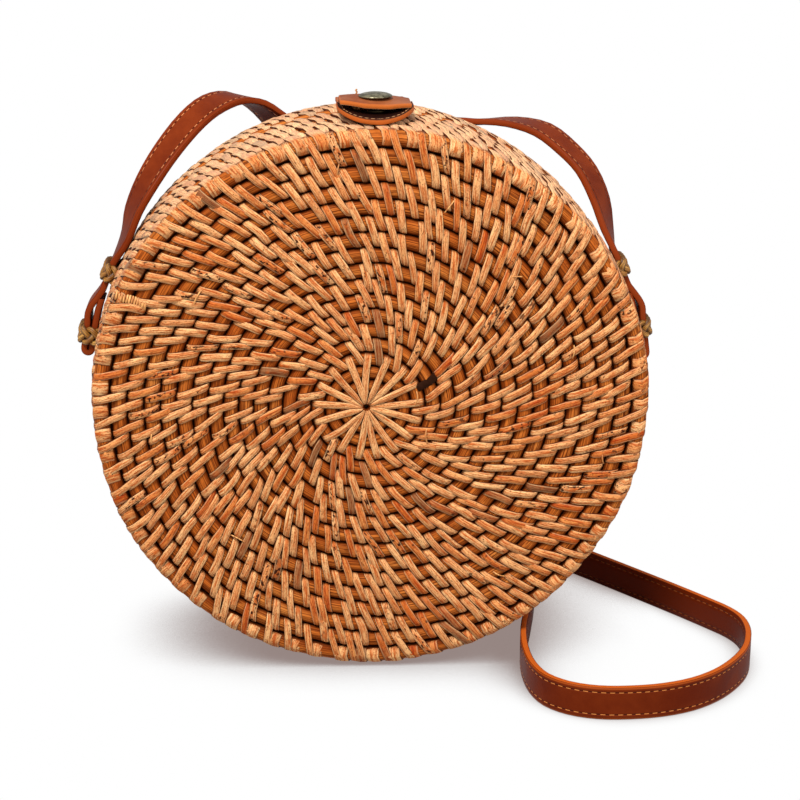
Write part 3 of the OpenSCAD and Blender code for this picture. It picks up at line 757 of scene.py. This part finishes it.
def spin_rows(half, rows, name, shrink=0.03, around=10):
    """The round cores of these rows, each a closed ring."""
    bm = bmesh.new()
    for r, z, tube in rows:
        made = bmesh.ops.create_circle(bm, cap_ends=False, segments=around, radius=tube - shrink)
        bmesh.ops.rotate(bm, verts=made["verts"], cent=(0, 0, 0),
                         matrix=Matrix.Rotation(math.pi / 2, 3, "X"))
        bmesh.ops.translate(bm, verts=made["verts"], vec=(r, 0, z))
    spin_round(bm, 180)
    mesh, places = mesh_of(bm, name)
    r, turn, z = polar(places)
    row_r, row_z, _ = np.array(rows).T
    near = np.argmin((r[:, None] - row_r) ** 2 + (z[:, None] - row_z) ** 2, axis=1)
    # the angle round each core, measured from the side that faces out
    on_edge = row_r > 92.0
    facing = np.where(row_z < 35.0, 0.0, np.where(on_edge, math.pi / 4, math.pi / 2))
    angle = np.arctan2(z - row_z[near], r - row_r[near]) - facing[near]
    angle = (angle + math.pi) % TAU - math.pi
    # how far round each core the painted shade of the gaps reaches its darkest
    hidden = np.radians(np.where(row_z < 4.0, 900.0,
                                 np.where((row_z > 35.0) & on_edge, 122.0, 76.0)))
    set_places(mesh, half.to_world(r, turn, z))
    give_field(mesh, "lay", angle, near * 3.7 + half.seed, np.abs(angle) / hidden[near])
    return mesh


def spin_backing(half):
    """A thin dish in the painted shade of the gaps, through the middle of the rows, so that no
    light shows between them.
    """
    outline = [(0.6, half.rows[0][1] - 0.9)]
    for r, z, _ in half.rows[:-1]:
        outline.append((r, z - 0.9) if z - 0.9 > 34 else (r - 0.9, z))
    bm = draw_line(outline)
    spin_round(bm, 90)
    mesh, places = mesh_of(bm, half.name + "_backing")
    set_places(mesh, half.to_world(*polar(places)))
    return mesh


def weave_half(half, strips, core, gap):
    """Strips, rosette, rows, rim and backing of one half."""
    name, rows, shell = half.name, half.rows, half.name + "_shell"
    plan = plan_rings(half)
    face = [ring for ring in plan if ring[0] < FACE_ROWS]
    wall = [ring for ring in plan if ring[0] >= FACE_ROWS]
    # two strips are missing beside the front rosette
    bare = [(23.5, 13.0), (19.9, 6.8)] if half is FRONT else ()
    for mesh, node in (
            (lay_strips(half, face, name + "_face_strips", half.seed + 1, bare), shell),
            (lay_strips(half, wall, name + "_wall_strips", half.seed + 2), shell),
            (lay_rays(half), name + "_rosette")):
        face_out(mesh, (0, -half.side * 0.01, MID_Z * MM))
        hang(mesh, strips, name, node)
    hang(spin_rows(half, rows[:-1], name + "_coil_rows"), core, name, shell)
    hang(spin_rows(half, rows[-1:], name + "_rim_core", 0.02, 14), core, name,
         name + "_rim_cane")
    hang(spin_backing(half), gap, name, shell)


STRAP_W = 12.0
STRAP_T = 2.4
STRAP_Y = 8.0
# The folded ends: radius of the inner layer, distance of the two layers, angles in degrees of
# the fold and of the turn at its end, and how much lower the right one sits
FOLD_R, LAYERS = 102.5, 2.7
FOLD_AT, FOLD_END = 9.2, 6.3
RIGHT_LOWER = 2.4
# Along a fold: degrees from it and layer, first the inner run and then the outer one
FOLD_IN = [[8.0, -0.14], [4.8, -0.04], [-2.2, 0]]
FOLD_OUT = [[-2.2, 1], [2.3, 1], [4.5, 1.2], [6.3, 0.95], [8.2, 0.42], [9.9, 0.08],
            [11.6, 0], [16.3, 0]]
# Rings in tenths of a metre, with the direction of the width
LEFT_ARC = [
    (-0.88, 0.065, 1.525, -0.17, 0.97, 0.16),
    (-0.85, 0.07, 1.62, -0.43, 0.9, 0.03),
    (-0.795, 0.105, 1.725, -0.66, 0.75, 0.04),
    (-0.725, 0.17, 1.825, -0.77, 0.63, 0.1),
    (-0.635, 0.27, 1.92, -0.8, 0.57, 0.22),
    (-0.56, 0.36, 1.965, -0.74, 0.61, 0.28),
    (-0.48, 0.44, 1.975, -0.62, 0.75, 0.12),
    (-0.4, 0.5, 1.94, -0.5, 0.76, -0.2),
    (-0.32, 0.54, 1.865, -0.4, 0.66, -0.55)]
BACK_FALL = [
    (-0.22, 0.59, 1.7, -0.65, 0.35, -0.55),
    (-0.13, 0.63, 1.45, -0.93, 0, -0.37),
    (0, 0.655, 1.1, -0.92, 0, -0.4),
    (0.18, 0.68, 0.73, -0.9, 0, -0.43),
    (0.36, 0.71, 0.41, -0.8, 0, -0.6),
    (0.5, 0.72, 0.22, -0.65, 0.2, -0.72),
    (0.6, 0.71, 0.11, -0.45, 0.2, -0.87),
    (0.7, 0.66, 0.03, -0.2, 0.1, -0.97)]
FLOOR = [[0.8, 0.565], [0.885, 0.46], [1.05, 0.245], [1.2, 0.045], [1.3, -0.095],
         [1.365, -0.195], [1.392, -0.275], [1.393, -0.365], [1.375, -0.455], [1.34, -0.55],
         [1.275, -0.65], [1.195, -0.735], [1.1, -0.8], [0.99, -0.84], [0.87, -0.855],
         [0.76, -0.848], [0.665, -0.81], [0.595, -0.74], [0.56, -0.64], [0.55, -0.5],
         [0.565, -0.33], [0.6, -0.16], [0.65, 0.1], [0.67, 0.28]]
BACK_RISE = [
    (0.68, 0.41, 0, 0.6, 0, -0.8),
    (0.68, 0.52, 0, 0.95, 0, -0.3),
    (0.665, 0.58, 0.08, 1, 0, 0),
    (0.63, 0.605, 0.24, 1, 0, 0.1),
    (0.58, 0.6, 0.45, 0.9, 0.3, 0.2),
    (0.46, 0.585, 0.85, 0.6, 0.75, 0.1),
    (0.32, 0.57, 1.25, 0.3, 0.95, 0),
    (0.235, 0.55, 1.58, 0.2, 0.98, -0.05),
    (0.26, 0.52, 1.74, 0.2, 0.96, -0.18)]
RIGHT_ARC = [
    (0.33, 0.5, 1.86, 0.23, 0.95, -0.28),
    (0.45, 0.465, 1.872, 0.34, 0.92, -0.16),
    (0.57, 0.41, 1.88, 0.5, 0.86, 0),
    (0.68, 0.34, 1.86, 0.63, 0.77, 0.1),
    (0.765, 0.265, 1.8, 0.69, 0.72, 0.03),
    (0.83, 0.205, 1.73, 0.68, 0.73, -0.06),
    (0.875, 0.15, 1.63, 0.62, 0.78, -0.12),
    (0.9, 0.105, 1.52, 0.35, 0.91, -0.12)]


def strap_route():
    """Every ring of the strap in mm: place and direction of its width, as in the part's source."""
    def end_point(angle, r):
        a = math.radians(angle)
        return [r * math.cos(a), STRAP_Y, MID_Z + r * math.sin(a)]

    def fold(low):
        tip = math.radians(FOLD_END - low)
        inner, outer = ([end_point(FOLD_AT + a - low * (a < 0), FOLD_R + k * LAYERS)
                         for a, k in layer] for layer in (FOLD_IN, FOLD_OUT))
        half = LAYERS / 2
        for t in np.radians((0, 45, 90, 135, 180)):
            x, y, z = end_point(FOLD_END - low, FOLD_R + half * (1 - math.cos(t)))
            s = half * math.sin(t)
            inner.append([x + s * math.sin(tip), y, z - s * math.cos(tip)])
        return inner + outer

    rings = [([-x, y, z], [0, 1, 0]) for x, y, z in fold(0.0)]
    floor = [(x, y, 0.0, 0, 0, -1) for x, y in FLOOR]
    for table, lift in ((LEFT_ARC, 0.0), (BACK_FALL, STRAP_W / 2), (floor, STRAP_W / 2),
                        (BACK_RISE, STRAP_W / 2), (RIGHT_ARC, 0.0)):
        rings += [([x * 100, y * 100, z * 100 + lift], wide) for x, y, z, *wide in table]
    return rings + [(p, [0, 1, 0]) for p in reversed(fold(RIGHT_LOWER))]


def smooth_route(rings, fine=3):
    """Adds places between the rings on a curve through them, with their width directions."""
    spots, wide = (np.array(part, dtype=float) for part in zip(*rings))
    both = np.hstack([spots, unit(wide) * 10.0])
    gaps = np.sqrt(np.maximum(np.linalg.norm(np.diff(spots, axis=0), axis=1), 0.05))[:, None]
    chord = np.diff(both, axis=0) / gaps
    slope = (chord[:-1] * gaps[1:] + chord[1:] * gaps[:-1]) / (gaps[:-1] + gaps[1:])
    slope = np.vstack([chord[:1], slope, chord[-1:]])
    t = np.arange(fine)[:, None] / fine
    out = [both[-1:]]
    for n in reversed(range(len(gaps))):
        out.insert(0, (2 * t ** 3 - 3 * t ** 2 + 1) * both[n]
                   + (t ** 3 - 2 * t ** 2 + t) * (slope[n] * gaps[n])
                   + (3 * t ** 2 - 2 * t ** 3) * both[n + 1]
                   + (t ** 3 - t ** 2) * (slope[n + 1] * gaps[n]))
    out = np.vstack(out)
    return out[:, :3], unit(out[:, 3:])


# Sections in shares of half width and half thickness, with the side they are on
SECTION = [(-0.955, 1.0, 1.0), (-0.80, 1.0, 1.0), (-0.66, 0.99, 1.0), (0.0, 1.02, 1.0),
           (0.66, 0.99, 1.0), (0.80, 1.0, 1.0), (0.955, 1.0, 1.0),
           (1.0, 0.72, 0.25), (1.0, 0.0, 0.0), (1.0, -0.72, -0.25),
           (0.955, -1.0, -1.0), (0.4, -1.0, -1.0), (-0.4, -1.0, -1.0), (-0.955, -1.0, -1.0),
           (-1.0, -0.72, -0.25), (-1.0, 0.0, 0.0), (-1.0, 0.72, 0.25)]
ROUND = [(math.cos(a), math.sin(a), math.sin(a)) for a in np.radians(range(0, 360, 45))]


def sweep(name, runs, half_w, half_t, material, body, node, slot, section=ROUND):
    """One piece of closed bands, each along its places in mm: (places, width direction, start)."""
    bm = bmesh.new()
    lay = []
    for spots, wide, start in runs:
        spots = np.array(spots, dtype=float)
        gaps = np.diff(spots, axis=0)
        steps = unit(gaps)
        along = unit(np.vstack([steps[:1], steps[1:] + steps[:-1], steps[-1:]]))
        wide = unit(wide - along * np.sum(wide * along, axis=1)[:, None])
        thick = np.cross(along, wide)
        length = start + np.append(0, np.cumsum(np.linalg.norm(gaps, axis=1)))

        def ring(n, capped):
            made = bmesh.ops.create_circle(bm, cap_ends=capped, segments=len(section), radius=1.0)
            for vert, (u, v, side) in zip(made["verts"], section):
                vert.co = Vector((spots[n] + wide[n] * u * half_w + thick[n] * v * half_t) * MM)
                lay.append((half_w, length[n], v * 0.25) if capped else
                           (u * half_w, length[n], side))
            return made["verts"]

        loops = [list({edge for vert in ring(n, False) for edge in vert.link_edges})
                 for n in range(len(spots))]
        for one, two in zip(loops, loops[1:]):
            bmesh.ops.bridge_loops(bm, edges=one + two)
        ring(0, True)
        ring(-1, True)
    bmesh.ops.recalc_face_normals(bm, faces=[face for face in bm.faces if len(face.verts) == 4])
    mesh, _ = mesh_of(bm, name)
    give_field(mesh, "lay", *np.array(lay).T)
    return hang(mesh, material, body, node), length[-1]


def make_strap(material):
    """The strap in three pieces, which meet behind the bag at the ends of the floor loop."""
    spots, wide = smooth_route(strap_route())
    floor = np.flatnonzero((spots[:, 2] < 12.0) & (spots[:, 1] <= 50.0))
    first, last = floor[0], floor[-1]
    start = 0.0
    for name, a, b in (("strap_left_run", 0, first), ("strap_floor_loop", first, last),
                       ("strap_right_run", last, len(spots) - 1)):
        piece, start = sweep(name, [(spots[a:b + 1], wide[a:b + 1], start)], STRAP_W / 2,
                             STRAP_T / 2, material, "back", "shoulder_strap", "strap_leather",
                             SECTION)
        if name == "strap_floor_loop":
            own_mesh(piece)


def make_knot_material():
    """Golden twisted rattan strands of the knots."""
    w = new_material("knotted_rattan")
    across, along, side = w.attribute("lay")
    streaks, pores = w.group(FIBRES, Place=w.vector(w.mul(across, 1.5), w.mul(along, 0.8), side))
    body = w.coats(
        w.ramp(w.noise(w.place(), 260.0), (0.3, 150, 92, 26), (0.5, 184, 126, 48),
               (0.7, 214, 160, 78)),
        (w.span(streaks, 0.6, 0.38), tone(92, 50, 12)),
        (w.mul(pores, 0.6), tone(70, 36, 10)),
        # painted shade at the strands' edges, where they sink between each other
        (w.span(w.abs(across), 0.6, 1.1, 0.0, 0.85), tone(62, 32, 6)))
    return finish_surface(w, body, w.span(streaks, 0.3, 0.7, 0.6, 0.42),
                          w.bump(streaks, 0.7, 0.0002), Specular_IOR_Level=0.4)


def make_tie_material():
    """Flat rattan of the ties and hinge wraps, grained along their length."""
    w = new_material("binding_rattan")
    x, y, z = w.parts(w.place())
    fine = w.noise(w.vector(w.mul(x, 1800.0), w.mul(y, 160.0), w.mul(z, 160.0)), 1.0, 3.0, 0.6)
    return finish_surface(w, w.blend(w.span(fine, 0.36, 0.62), tone(168, 98, 44),
                                     tone(230, 168, 98)),
                          w.span(fine, 0.3, 0.7, 0.62, 0.45), w.bump(fine, 0.5, 0.0002),
                          Specular_IOR_Level=0.4)


def make_plate_material(name, face, worn, under, edge, thread, stitched):
    """Small leather plates: attribute lay is distance from the outline, run along it, and side."""
    w = new_material(name)
    off, run, side = w.attribute("lay")
    place = w.place()
    pebble, cloud = w.group(LEATHER, Place=place)
    raw = w.blend(w.noise(place, 1400.0, 4.0, 0.7), under, w.blend(0.4, under, edge))
    sewn = w.group(STITCHES, Across=off, Along=run, Line=1.9, Pitch=2.6, Share=0.62, Width=0.3)
    stitch, groove = w.mul(sewn[0], stitched), w.mul(sewn[1], stitched)
    near = w.mul(w.span(off, 0.5, 0.1), 0.55)
    cut = w.math("MAXIMUM", w.math("LESS_THAN", w.abs(side), 0.8), near)
    layers = w.noise(w.vector(w.mul(side, 7.0), w.mul(run, 0.2), 0.0), 2.0, 3.0, 0.6)
    lower = w.mul(w.span(side, -0.7, -0.9), w.span(off, 0.8, 0.3))
    body = w.coats(
        w.blend(w.span(side, -0.9, 0.0), raw, w.blend(w.span(cloud, 0.32, 0.68), face, worn)),
        (w.mul(groove, 0.4), under),
        (stitch, thread),
        (cut, w.blend(layers, edge, w.blend(0.4, edge, face))),
        (w.mul(lower, 1.0 - stitched), under))
    height = w.add(w.mul(pebble, 0.2), w.sub(w.mul(stitch, 1.2), groove))
    return finish_surface(w, body, w.span(cloud, 0.2, 0.8, 0.42, 0.6),
                          w.bump(height, 0.7, 0.0003), Specular_IOR_Level=0.15)


def leather_plate(name, material, body, node, across, along, plan, under, thick, outline):
    """A leather plate: plan gives x and y in mm for each place of a grid, under its lower face."""
    bm = bmesh.new()
    bmesh.ops.create_grid(bm, x_segments=across, y_segments=along, size=1.0)
    for vert in bm.verts:
        x, y = plan(vert.co.x, (vert.co.y + 1) / 2)
        vert.co = Vector((x, y, under(x, y)))
    made = bmesh.ops.extrude_face_region(bm, geom=bm.faces[:], use_keep_orig=True)
    for vert in made["geom"]:
        if isinstance(vert, bmesh.types.BMVert):
            x, y, _ = vert.co
            slope = under(x + 0.5, y) - under(x - 0.5, y)
            rise = under(x, y + 0.5) - under(x, y - 0.5)
            normal = Vector((-slope, -rise, 1.0)).normalized()
            vert.co += Vector((0.0, normal.y * thick, normal.z * thick))
    bmesh.ops.remove_doubles(bm, verts=bm.verts[:], dist=0.01)
    bmesh.ops.recalc_face_normals(bm, faces=bm.faces[:])
    sharp = [edge for edge in bm.edges
             if len(edge.link_faces) == 2 and edge.calc_face_angle(0.0) > math.radians(55)]
    bmesh.ops.bevel(bm, geom=sharp, offset=0.32, segments=2, profile=0.5, affect="EDGES",
                    material=-1)
    mesh, places = mesh_of(bm, name)
    lay = []
    for x, y, z in places:
        off, run = outline(x, y)
        side = 2 * (z - under(x, y)) / thick - 1
        lay.append((max(off, 0.0), run, max(-1.0, min(1.0, side))))
    set_places(mesh, places * MM)
    give_field(mesh, "lay", *np.array(lay).T)
    hang(mesh, material, body, node)
    mesh.set_sharp_from_angle(angle=math.radians(38))


# The clasp in mm: its middle, the flap's half width, fold, nose and level, and the radius and
# centre of the tab's round end
CLASP_X = 2.0
FLAP_W = 12.5
FLAP_FOLD, FLAP_NOSE = 6.6, -26.0
TAB_BACK = -9.5
TAB_R = 13.5
TAB_Y = -19.5
TAB_CUP = 38.0
# Half width and half thickness of the strands
KNOT_STRAND = (1.15, 0.92)


def make_flap(material):
    """The closing flap: up from its fold, then level, with a blunt nose that droops a little."""
    def front_edge(x):
        return FLAP_NOSE + 3.5 * (max(abs(x - CLASP_X) - 4.25, 0.0) / 8.25) ** 1.25

    def plan(u, v):
        x = CLASP_X + FLAP_W * u
        return x, FLAP_FOLD + (front_edge(x) - FLAP_FOLD) * v

    def under(x, y):
        rise = way(y, 6.0, -11.0)
        nose = way(y, -17.5, FLAP_NOSE)
        bow = 1.0 - ((x - CLASP_X) / FLAP_W) ** 2
        level = 200.15 + 4.0 * rise * rise * (3 - 2 * rise)
        crown = 0.85 * math.exp(-((y + 15.0) / 8.0) ** 2) * bow - 0.5 * rise * (1 - bow)
        return level + crown - 1.1 * nose * nose * bow - 0.055 * (x - CLASP_X) * rise

    def outline(x, y):
        off = FLAP_W - abs(x - CLASP_X)
        front = y - front_edge(max(CLASP_X - FLAP_W, min(CLASP_X + FLAP_W, x)))
        return (off, y) if off < front else (front, x)

    leather_plate("closure_flap_leather", material, "flap", "closure_flap", 18, 26, plan, under,
                  1.6, outline)


def make_tab(material):
    """The cupped tab with its half-round end."""
    def plan(u, v):
        x = TAB_R * math.sin(u * math.pi / 2)
        end = TAB_Y - TAB_R * math.sqrt(max(0.0, 1 - (x / TAB_R) ** 2))
        return CLASP_X + x, TAB_BACK + (end - TAB_BACK) * v

    def under(x, y):
        sag = 0.8 * way(y, -18.0, -33.0) ** 2
        return 199.6 - sag + TAB_CUP - math.sqrt(TAB_CUP ** 2 - (x - CLASP_X) ** 2)

    def outline(x, y):
        x -= CLASP_X
        y -= TAB_Y
        side = 1 if x > 0 else -1
        if y > 0:
            return TAB_R - abs(x), y * side
        return TAB_R - math.hypot(x, y), -math.atan2(-y, abs(x)) * TAB_R * side

    leather_plate("front_tab_leather", material, "front", "front_tab", 20, 22, plan, under,
                  1.7, outline)


def make_anchor(material):
    """The fixed leather behind the fold, following the back wall."""
    def plan(u, v):
        return CLASP_X + FLAP_W * u, 7.25 + (31.95 - 7.25) * v

    def under(x, y):
        return MID_Z + BACK.wall_r(abs(y)) + 0.62

    def outline(x, y):
        off = FLAP_W - abs(x - CLASP_X)
        back = 32.0 - y
        return (off, y) if off < back else (back, x)

    leather_plate("flap_anchor_leather", material, "back", "flap_anchor", 12, 14, plan, under,
                  1.75, outline)


def make_anchor_ties(material):
    """Two ties of three flat strands each that bind the anchor to the wall."""
    course = ((22.6, -1.4), (22.7, -0.2), (23.2, 0.3), (24.6, 0.42), (26.0, 0.45), (27.4, 0.42),
              (28.8, 0.3), (29.3, -0.2), (29.4, -1.4))
    runs = []
    for side in (-1, 1):
        for strand in (-1, 0, 1):
            x = CLASP_X + side * 6.5 + strand * 0.85
            spots = [(x, y, MID_Z + BACK.wall_r(y) + 2.37 + rise) for y, rise in course]
            runs.append((spots, (1.0, 0.0, 0.0), strand * 5.0))
    sweep("anchor_tie_strands", runs, 0.46, 0.26, material, "back", "flap_anchor_ties",
          "pale_rattan")


def make_cap(material):
    """The snap's flat domed cap with a turned rim."""
    bm = draw_line([(0.0, 208.1), (1.6, 208.06), (3.2, 207.88), (4.5, 207.6), (5.4, 207.25),
                    (5.85, 206.98), (6.0, 206.8), (5.95, 206.66), (5.6, 206.58), (5.0, 206.3),
                    (0.0, 206.3)])
    spin_round(bm, 48)
    bmesh.ops.translate(bm, verts=bm.verts[:], vec=(CLASP_X, -18.0, 0))
    bmesh.ops.scale(bm, verts=bm.verts[:], vec=(MM, MM, MM))
    mesh, _ = mesh_of(bm, "snap_cap_dome")
    hang(mesh, material, "flap", "snap_cap")


def make_knots(material):
    """Each knot is a braid of three strands laid over the strap from wall to wall."""
    for name, side, angle, top in (("left_upper_knot", -1, 23.0, 105.5),
                                   ("left_lower_knot", -1, 9.2, 108.2),
                                   ("right_upper_knot", 1, 23.0, 105.5),
                                   ("right_lower_knot", 1, 9.2, 108.2)):
        # path of the braid's middle in width and radius, from wall to wall
        crown = top - 1.25
        rise = [(-6.75, 99.6), (-7.0, crown - 2.0), (-6.3, crown - 0.55), (-4.6, crown)]
        path = np.array(rise + [(0.0, crown + 0.1)] + [(-y, r) for y, r in reversed(rise)])
        away = np.append(0, np.cumsum(np.linalg.norm(np.diff(path, axis=0), axis=1)))
        fine = np.linspace(0, away[-1], 46)
        y, r = (np.convolve(np.pad(np.interp(fine, away, part), 2, mode="edge"),
                            np.ones(5) / 5, "valid") for part in path.T)
        slope = unit(np.stack([np.gradient(y), np.gradient(r)], axis=1))
        a = math.radians(angle)
        radial = np.array([side * math.cos(a), 0, math.sin(a)])
        tangent = np.array([-side * math.sin(a), 0, math.cos(a)])
        runs = []
        for strand in range(3):
            phase = fine * (TAU * 2.6 / away[-1]) + (strand * TAU / 3 + angle * side)
            swing = 2.55 * np.sin(phase)
            over = 0.62 * np.sin(2 * phase) - 0.1
            spots = (np.array([0, STRAP_Y, MID_Z]) + (r + slope[:, 0] * over)[:, None] * radial
                     + swing[:, None] * tangent
                     + (y - slope[:, 1] * over)[:, None] * np.array([0, 1, 0]))
            runs.append((spots, tangent, strand * 40.0))
        sweep(name + "_braid", runs, *KNOT_STRAND, material, "back", name, "knot_rattan")


def make_hinge_wraps(half, material):
    """Two bindings of four turns round the rim cane at the bottom, flattened along the seam."""
    rim_r, rim_z, _ = RIM_ROW
    runs = []
    for side in (-1, 1):
        for turn in range(4):
            at = math.radians(-90 + side * 12.7 + (turn - 1.5) * 0.52)
            spots, wide = [], []
            for n in range(19):
                b = TAU * n / 18 + 0.4
                r = rim_r + 3.2 * math.cos(b)
                z = max(rim_z + 3.2 * math.sin(b), 0.45)
                lean = at + 0.004 * (n / 18)
                spots.append((half.side * r * math.cos(lean), -half.side * z,
                              max(MID_Z + r * math.sin(lean), 0.35)))
                wide.append((-half.side * math.sin(lean), 0, math.cos(lean)))
            runs.append((spots, np.array(wide), turn * 9.0))
    sweep(half.name + "_hinge_binding", runs, 0.42, 0.28, material, half.name,
          half.name + "_hinge_wraps", "pale_rattan")


def make_lining(half, material):
    """The cotton lining: a thin dish that follows the wall, with a rolled hem at its opening."""
    mouth = 6.45
    deep = 32.42 if half.side > 0 else 32.56
    low = deep - 3.0
    node = half.name + "_lining"

    def wall_r(z):
        return half.wall_r(z) - 2 * half.wall_tube - 0.72

    outline = [(wall_r(z), z) for z in np.linspace(mouth, low, 8)]
    for b in np.radians((30, 60, 90)):
        outline.append((wall_r(low) - 2.6 * (1 - math.cos(b)), low + 2.6 * math.sin(b)))
    outline += [(r, deep - 0.4) for r in (84.0, 72.0, 58.0, 44.0, 30.0, 16.0, 5.0, 0.0)]
    bm = draw_line(outline)
    spin_round(bm, 120)
    mesh, places = mesh_of(bm, half.name + "_cotton_lining")
    r, turn, z = polar(places)
    on_wall = z < deep - 1.0
    give_field(mesh, "lay", np.where(on_wall, turn * 98.0, places[:, 0]),
               np.where(on_wall, z, places[:, 1]), on_wall.astype(float))
    # the cloth lies a little loose: shallow folds on the wall and soft hollows on the base
    fold = 0.22 * np.sin(turn * 21) * way(r, 60, 90)
    dent = -0.35 * (np.sin(r / 13.0 + 2 * np.sin(turn * 3)) + 1) * way(r, 88, 68) * way(r, 12, 42)
    r = np.where(z < deep - 3.1, r - np.abs(fold), r)
    z = z + np.where(r < 88, dent, 0.0)
    set_places(mesh, np.stack([half.side * r * np.cos(turn), -half.side * z,
                               MID_Z + r * np.sin(turn)], axis=-1) * MM)
    piece = hang(mesh, material, half.name, node)
    thin = piece.modifiers.new("cloth_thickness", "SOLIDIFY")
    thin.thickness = 0.0005
    thin.offset = 0.0
    rim = wall_r(mouth) - 0.25
    spots = [(half.side * rim * math.cos(t), -half.side * (mouth + 0.3), MID_Z + rim * math.sin(t))
             for t in np.linspace(0, TAU, 121)]
    hem_piece, _ = sweep(half.name + "_lining_hem", [(spots, (0.0, 1.0, 0.0), 0.0)], 1.1, 0.42,
                         material, half.name, node, "lining_fabric")


def make_edge_binding(material):
    """A fine strand wound twelve times round one strip at the left edge of the face."""
    start, step, cross = np.array([(-88.6, 41.6), (0.90, -0.30), (0.26, 0.96)])
    runs = []
    for turn in range(12):
        spots = []
        for n in range(7):
            t = n / 3 - 1
            x, y = start + step * turn + cross * t * 1.75
            spots.append((x, -(39.75 - 1.1 * t * t - 0.9 * (turn < 2)), MID_Z + y))
        runs.append((spots, (step[0], 0.0, step[1]), turn * 7.0))
    sweep("edge_strip_binding", runs, 0.40, 0.30, material, "front", "front_shell", "pale_rattan")


def make_hollow(material):
    """The hollow where a strip has broken away near the rosette: a flat band in the painted shade
    of the gaps.
    """
    spots = np.array([(15.8, -38.35, 6.8), (18.0, -38.7, 8.0), (20.2, -38.7, 9.3),
                      (22.0, -38.65, 10.8), (23.4, -38.35, 12.8)]) + (0.0, 0.0, MID_Z)
    sweep("torn_hollow", [(spots, (-0.55, 0.0, 0.83), 0.0)], 1.5, 0.3, material, "front",
          "front_shell", "rattan_core")


def fibre(x, y, long, turn, bend, level, arch):
    """A fibre that stands off the face, from its root at x and y on the face."""
    spots = []
    for t in np.linspace(0, 1, 9):
        a = turn + bend * t
        spots.append((x + long * t * math.cos(a), -(level + arch * math.sin(math.pi * t)),
                      MID_Z + y + long * t * math.sin(a)))
    return spots, (0.0, 1.0, 0.0), 0.0


def make_loose_hairs(material):
    """A few frayed fibres that stand off the strips, as on the real weave."""
    rng = np.random.RandomState(5)
    runs = []
    for x, y in ((-62.0, 38.0), (44.0, -63.0), (71.0, 22.0), (-30.0, -66.0), (52.0, 47.0),
                 (-78.0, -12.0), (28.0, 74.0), (-12.0, 83.0), (83.0, -22.0), (-51.0, -47.0)):
        turn = rng.uniform(0, TAU)
        long = rng.uniform(3.0, 6.5)
        runs.append(fibre(x, y, long, turn, rng.uniform(-0.5, 0.5), 39.1, 0.9))
    runs += [fibre(15.6, 6.0, 5.2, -1.35, -0.3, 39.7, 1.2),
             fibre(19.2, -8.0, 5.2, -1.9, 0.4, 39.7, 1.2)]
    sweep("loose_fibres", runs, 0.26, 0.24, material, "front", "front_shell", "pale_rattan")
    spots = [(-3.8, 1.8, 203.0), (-3.6, 1.6, 203.9), (-3.9, 1.5, 204.7), (-3.6, 1.4, 205.3),
             (-4.0, 1.3, 205.9), (-3.7, 1.2, 206.4)]
    sweep("tie_fibre", [(spots, (1.0, 0.0, 0.0), 0.0)], 0.34, 0.26, material, "flap",
          "closure_flap", "pale_rattan")


bpy.context.scene.view_settings.view_transform = "Standard"
make_camera()
make_floor()
make_sky()
make_lamp("key", (-0.35, -0.8, 1.35), (0.0, 0.0, 0.1), 0.55, 26.0)
make_lamp("fill", (0.9, -0.9, 0.7), (0.0, 0.0, 0.08), 0.9, 5.0)

STRIPS = make_strip_material()
CORE = make_core_material()
GAP = make_gap_material()
STRAP = make_strap_material()
BRASS = make_brass_material("aged_brass", tone(84, 80, 62), tone(168, 160, 128))
# a shaded copy of the brass: painted shade for the snap parts under the flap
SHADED_BRASS = make_brass_material("shaded_brass", tone(34, 28, 18), tone(74, 64, 42))
CLOTH = make_cloth_material()
KNOT = make_knot_material()
TIE = make_tie_material()
# tones of a plate: face, worn face, under side, edge and thread, then whether it is stitched
FLAP = make_plate_material("flap_leather", tone(150, 84, 48), tone(122, 58, 26),
                           tone(206, 164, 128), tone(204, 104, 34), tone(214, 160, 108), 0.0)
# painted shade: the tab lies under the flap, and its face tones are painted near black for that
# shade
TAB = make_plate_material("tab_leather", tone(26, 6, 2), tone(36, 9, 3),
                          tone(110, 48, 18), tone(196, 96, 30), tone(216, 160, 110), 1.0)

for half in (FRONT, BACK):
    weave_half(half, STRIPS, CORE, GAP)
    make_hinge_wraps(half, TIE)
    make_lining(half, CLOTH)
make_edge_binding(TIE)
make_hollow(GAP)
make_loose_hairs(TIE)
make_strap(STRAP)
make_knots(KNOT)
make_flap(FLAP)
make_tab(TAB)
make_anchor(FLAP)
make_anchor_ties(TIE)
make_cap(BRASS)

for name, material in (("snap_socket", SHADED_BRASS), ("snap_stud", SHADED_BRASS), ("snap_post", SHADED_BRASS),
                       ("front_tab_ties", TIE)):
    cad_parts[name].data.materials.clear()
    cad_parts[name].data.materials.append(material)
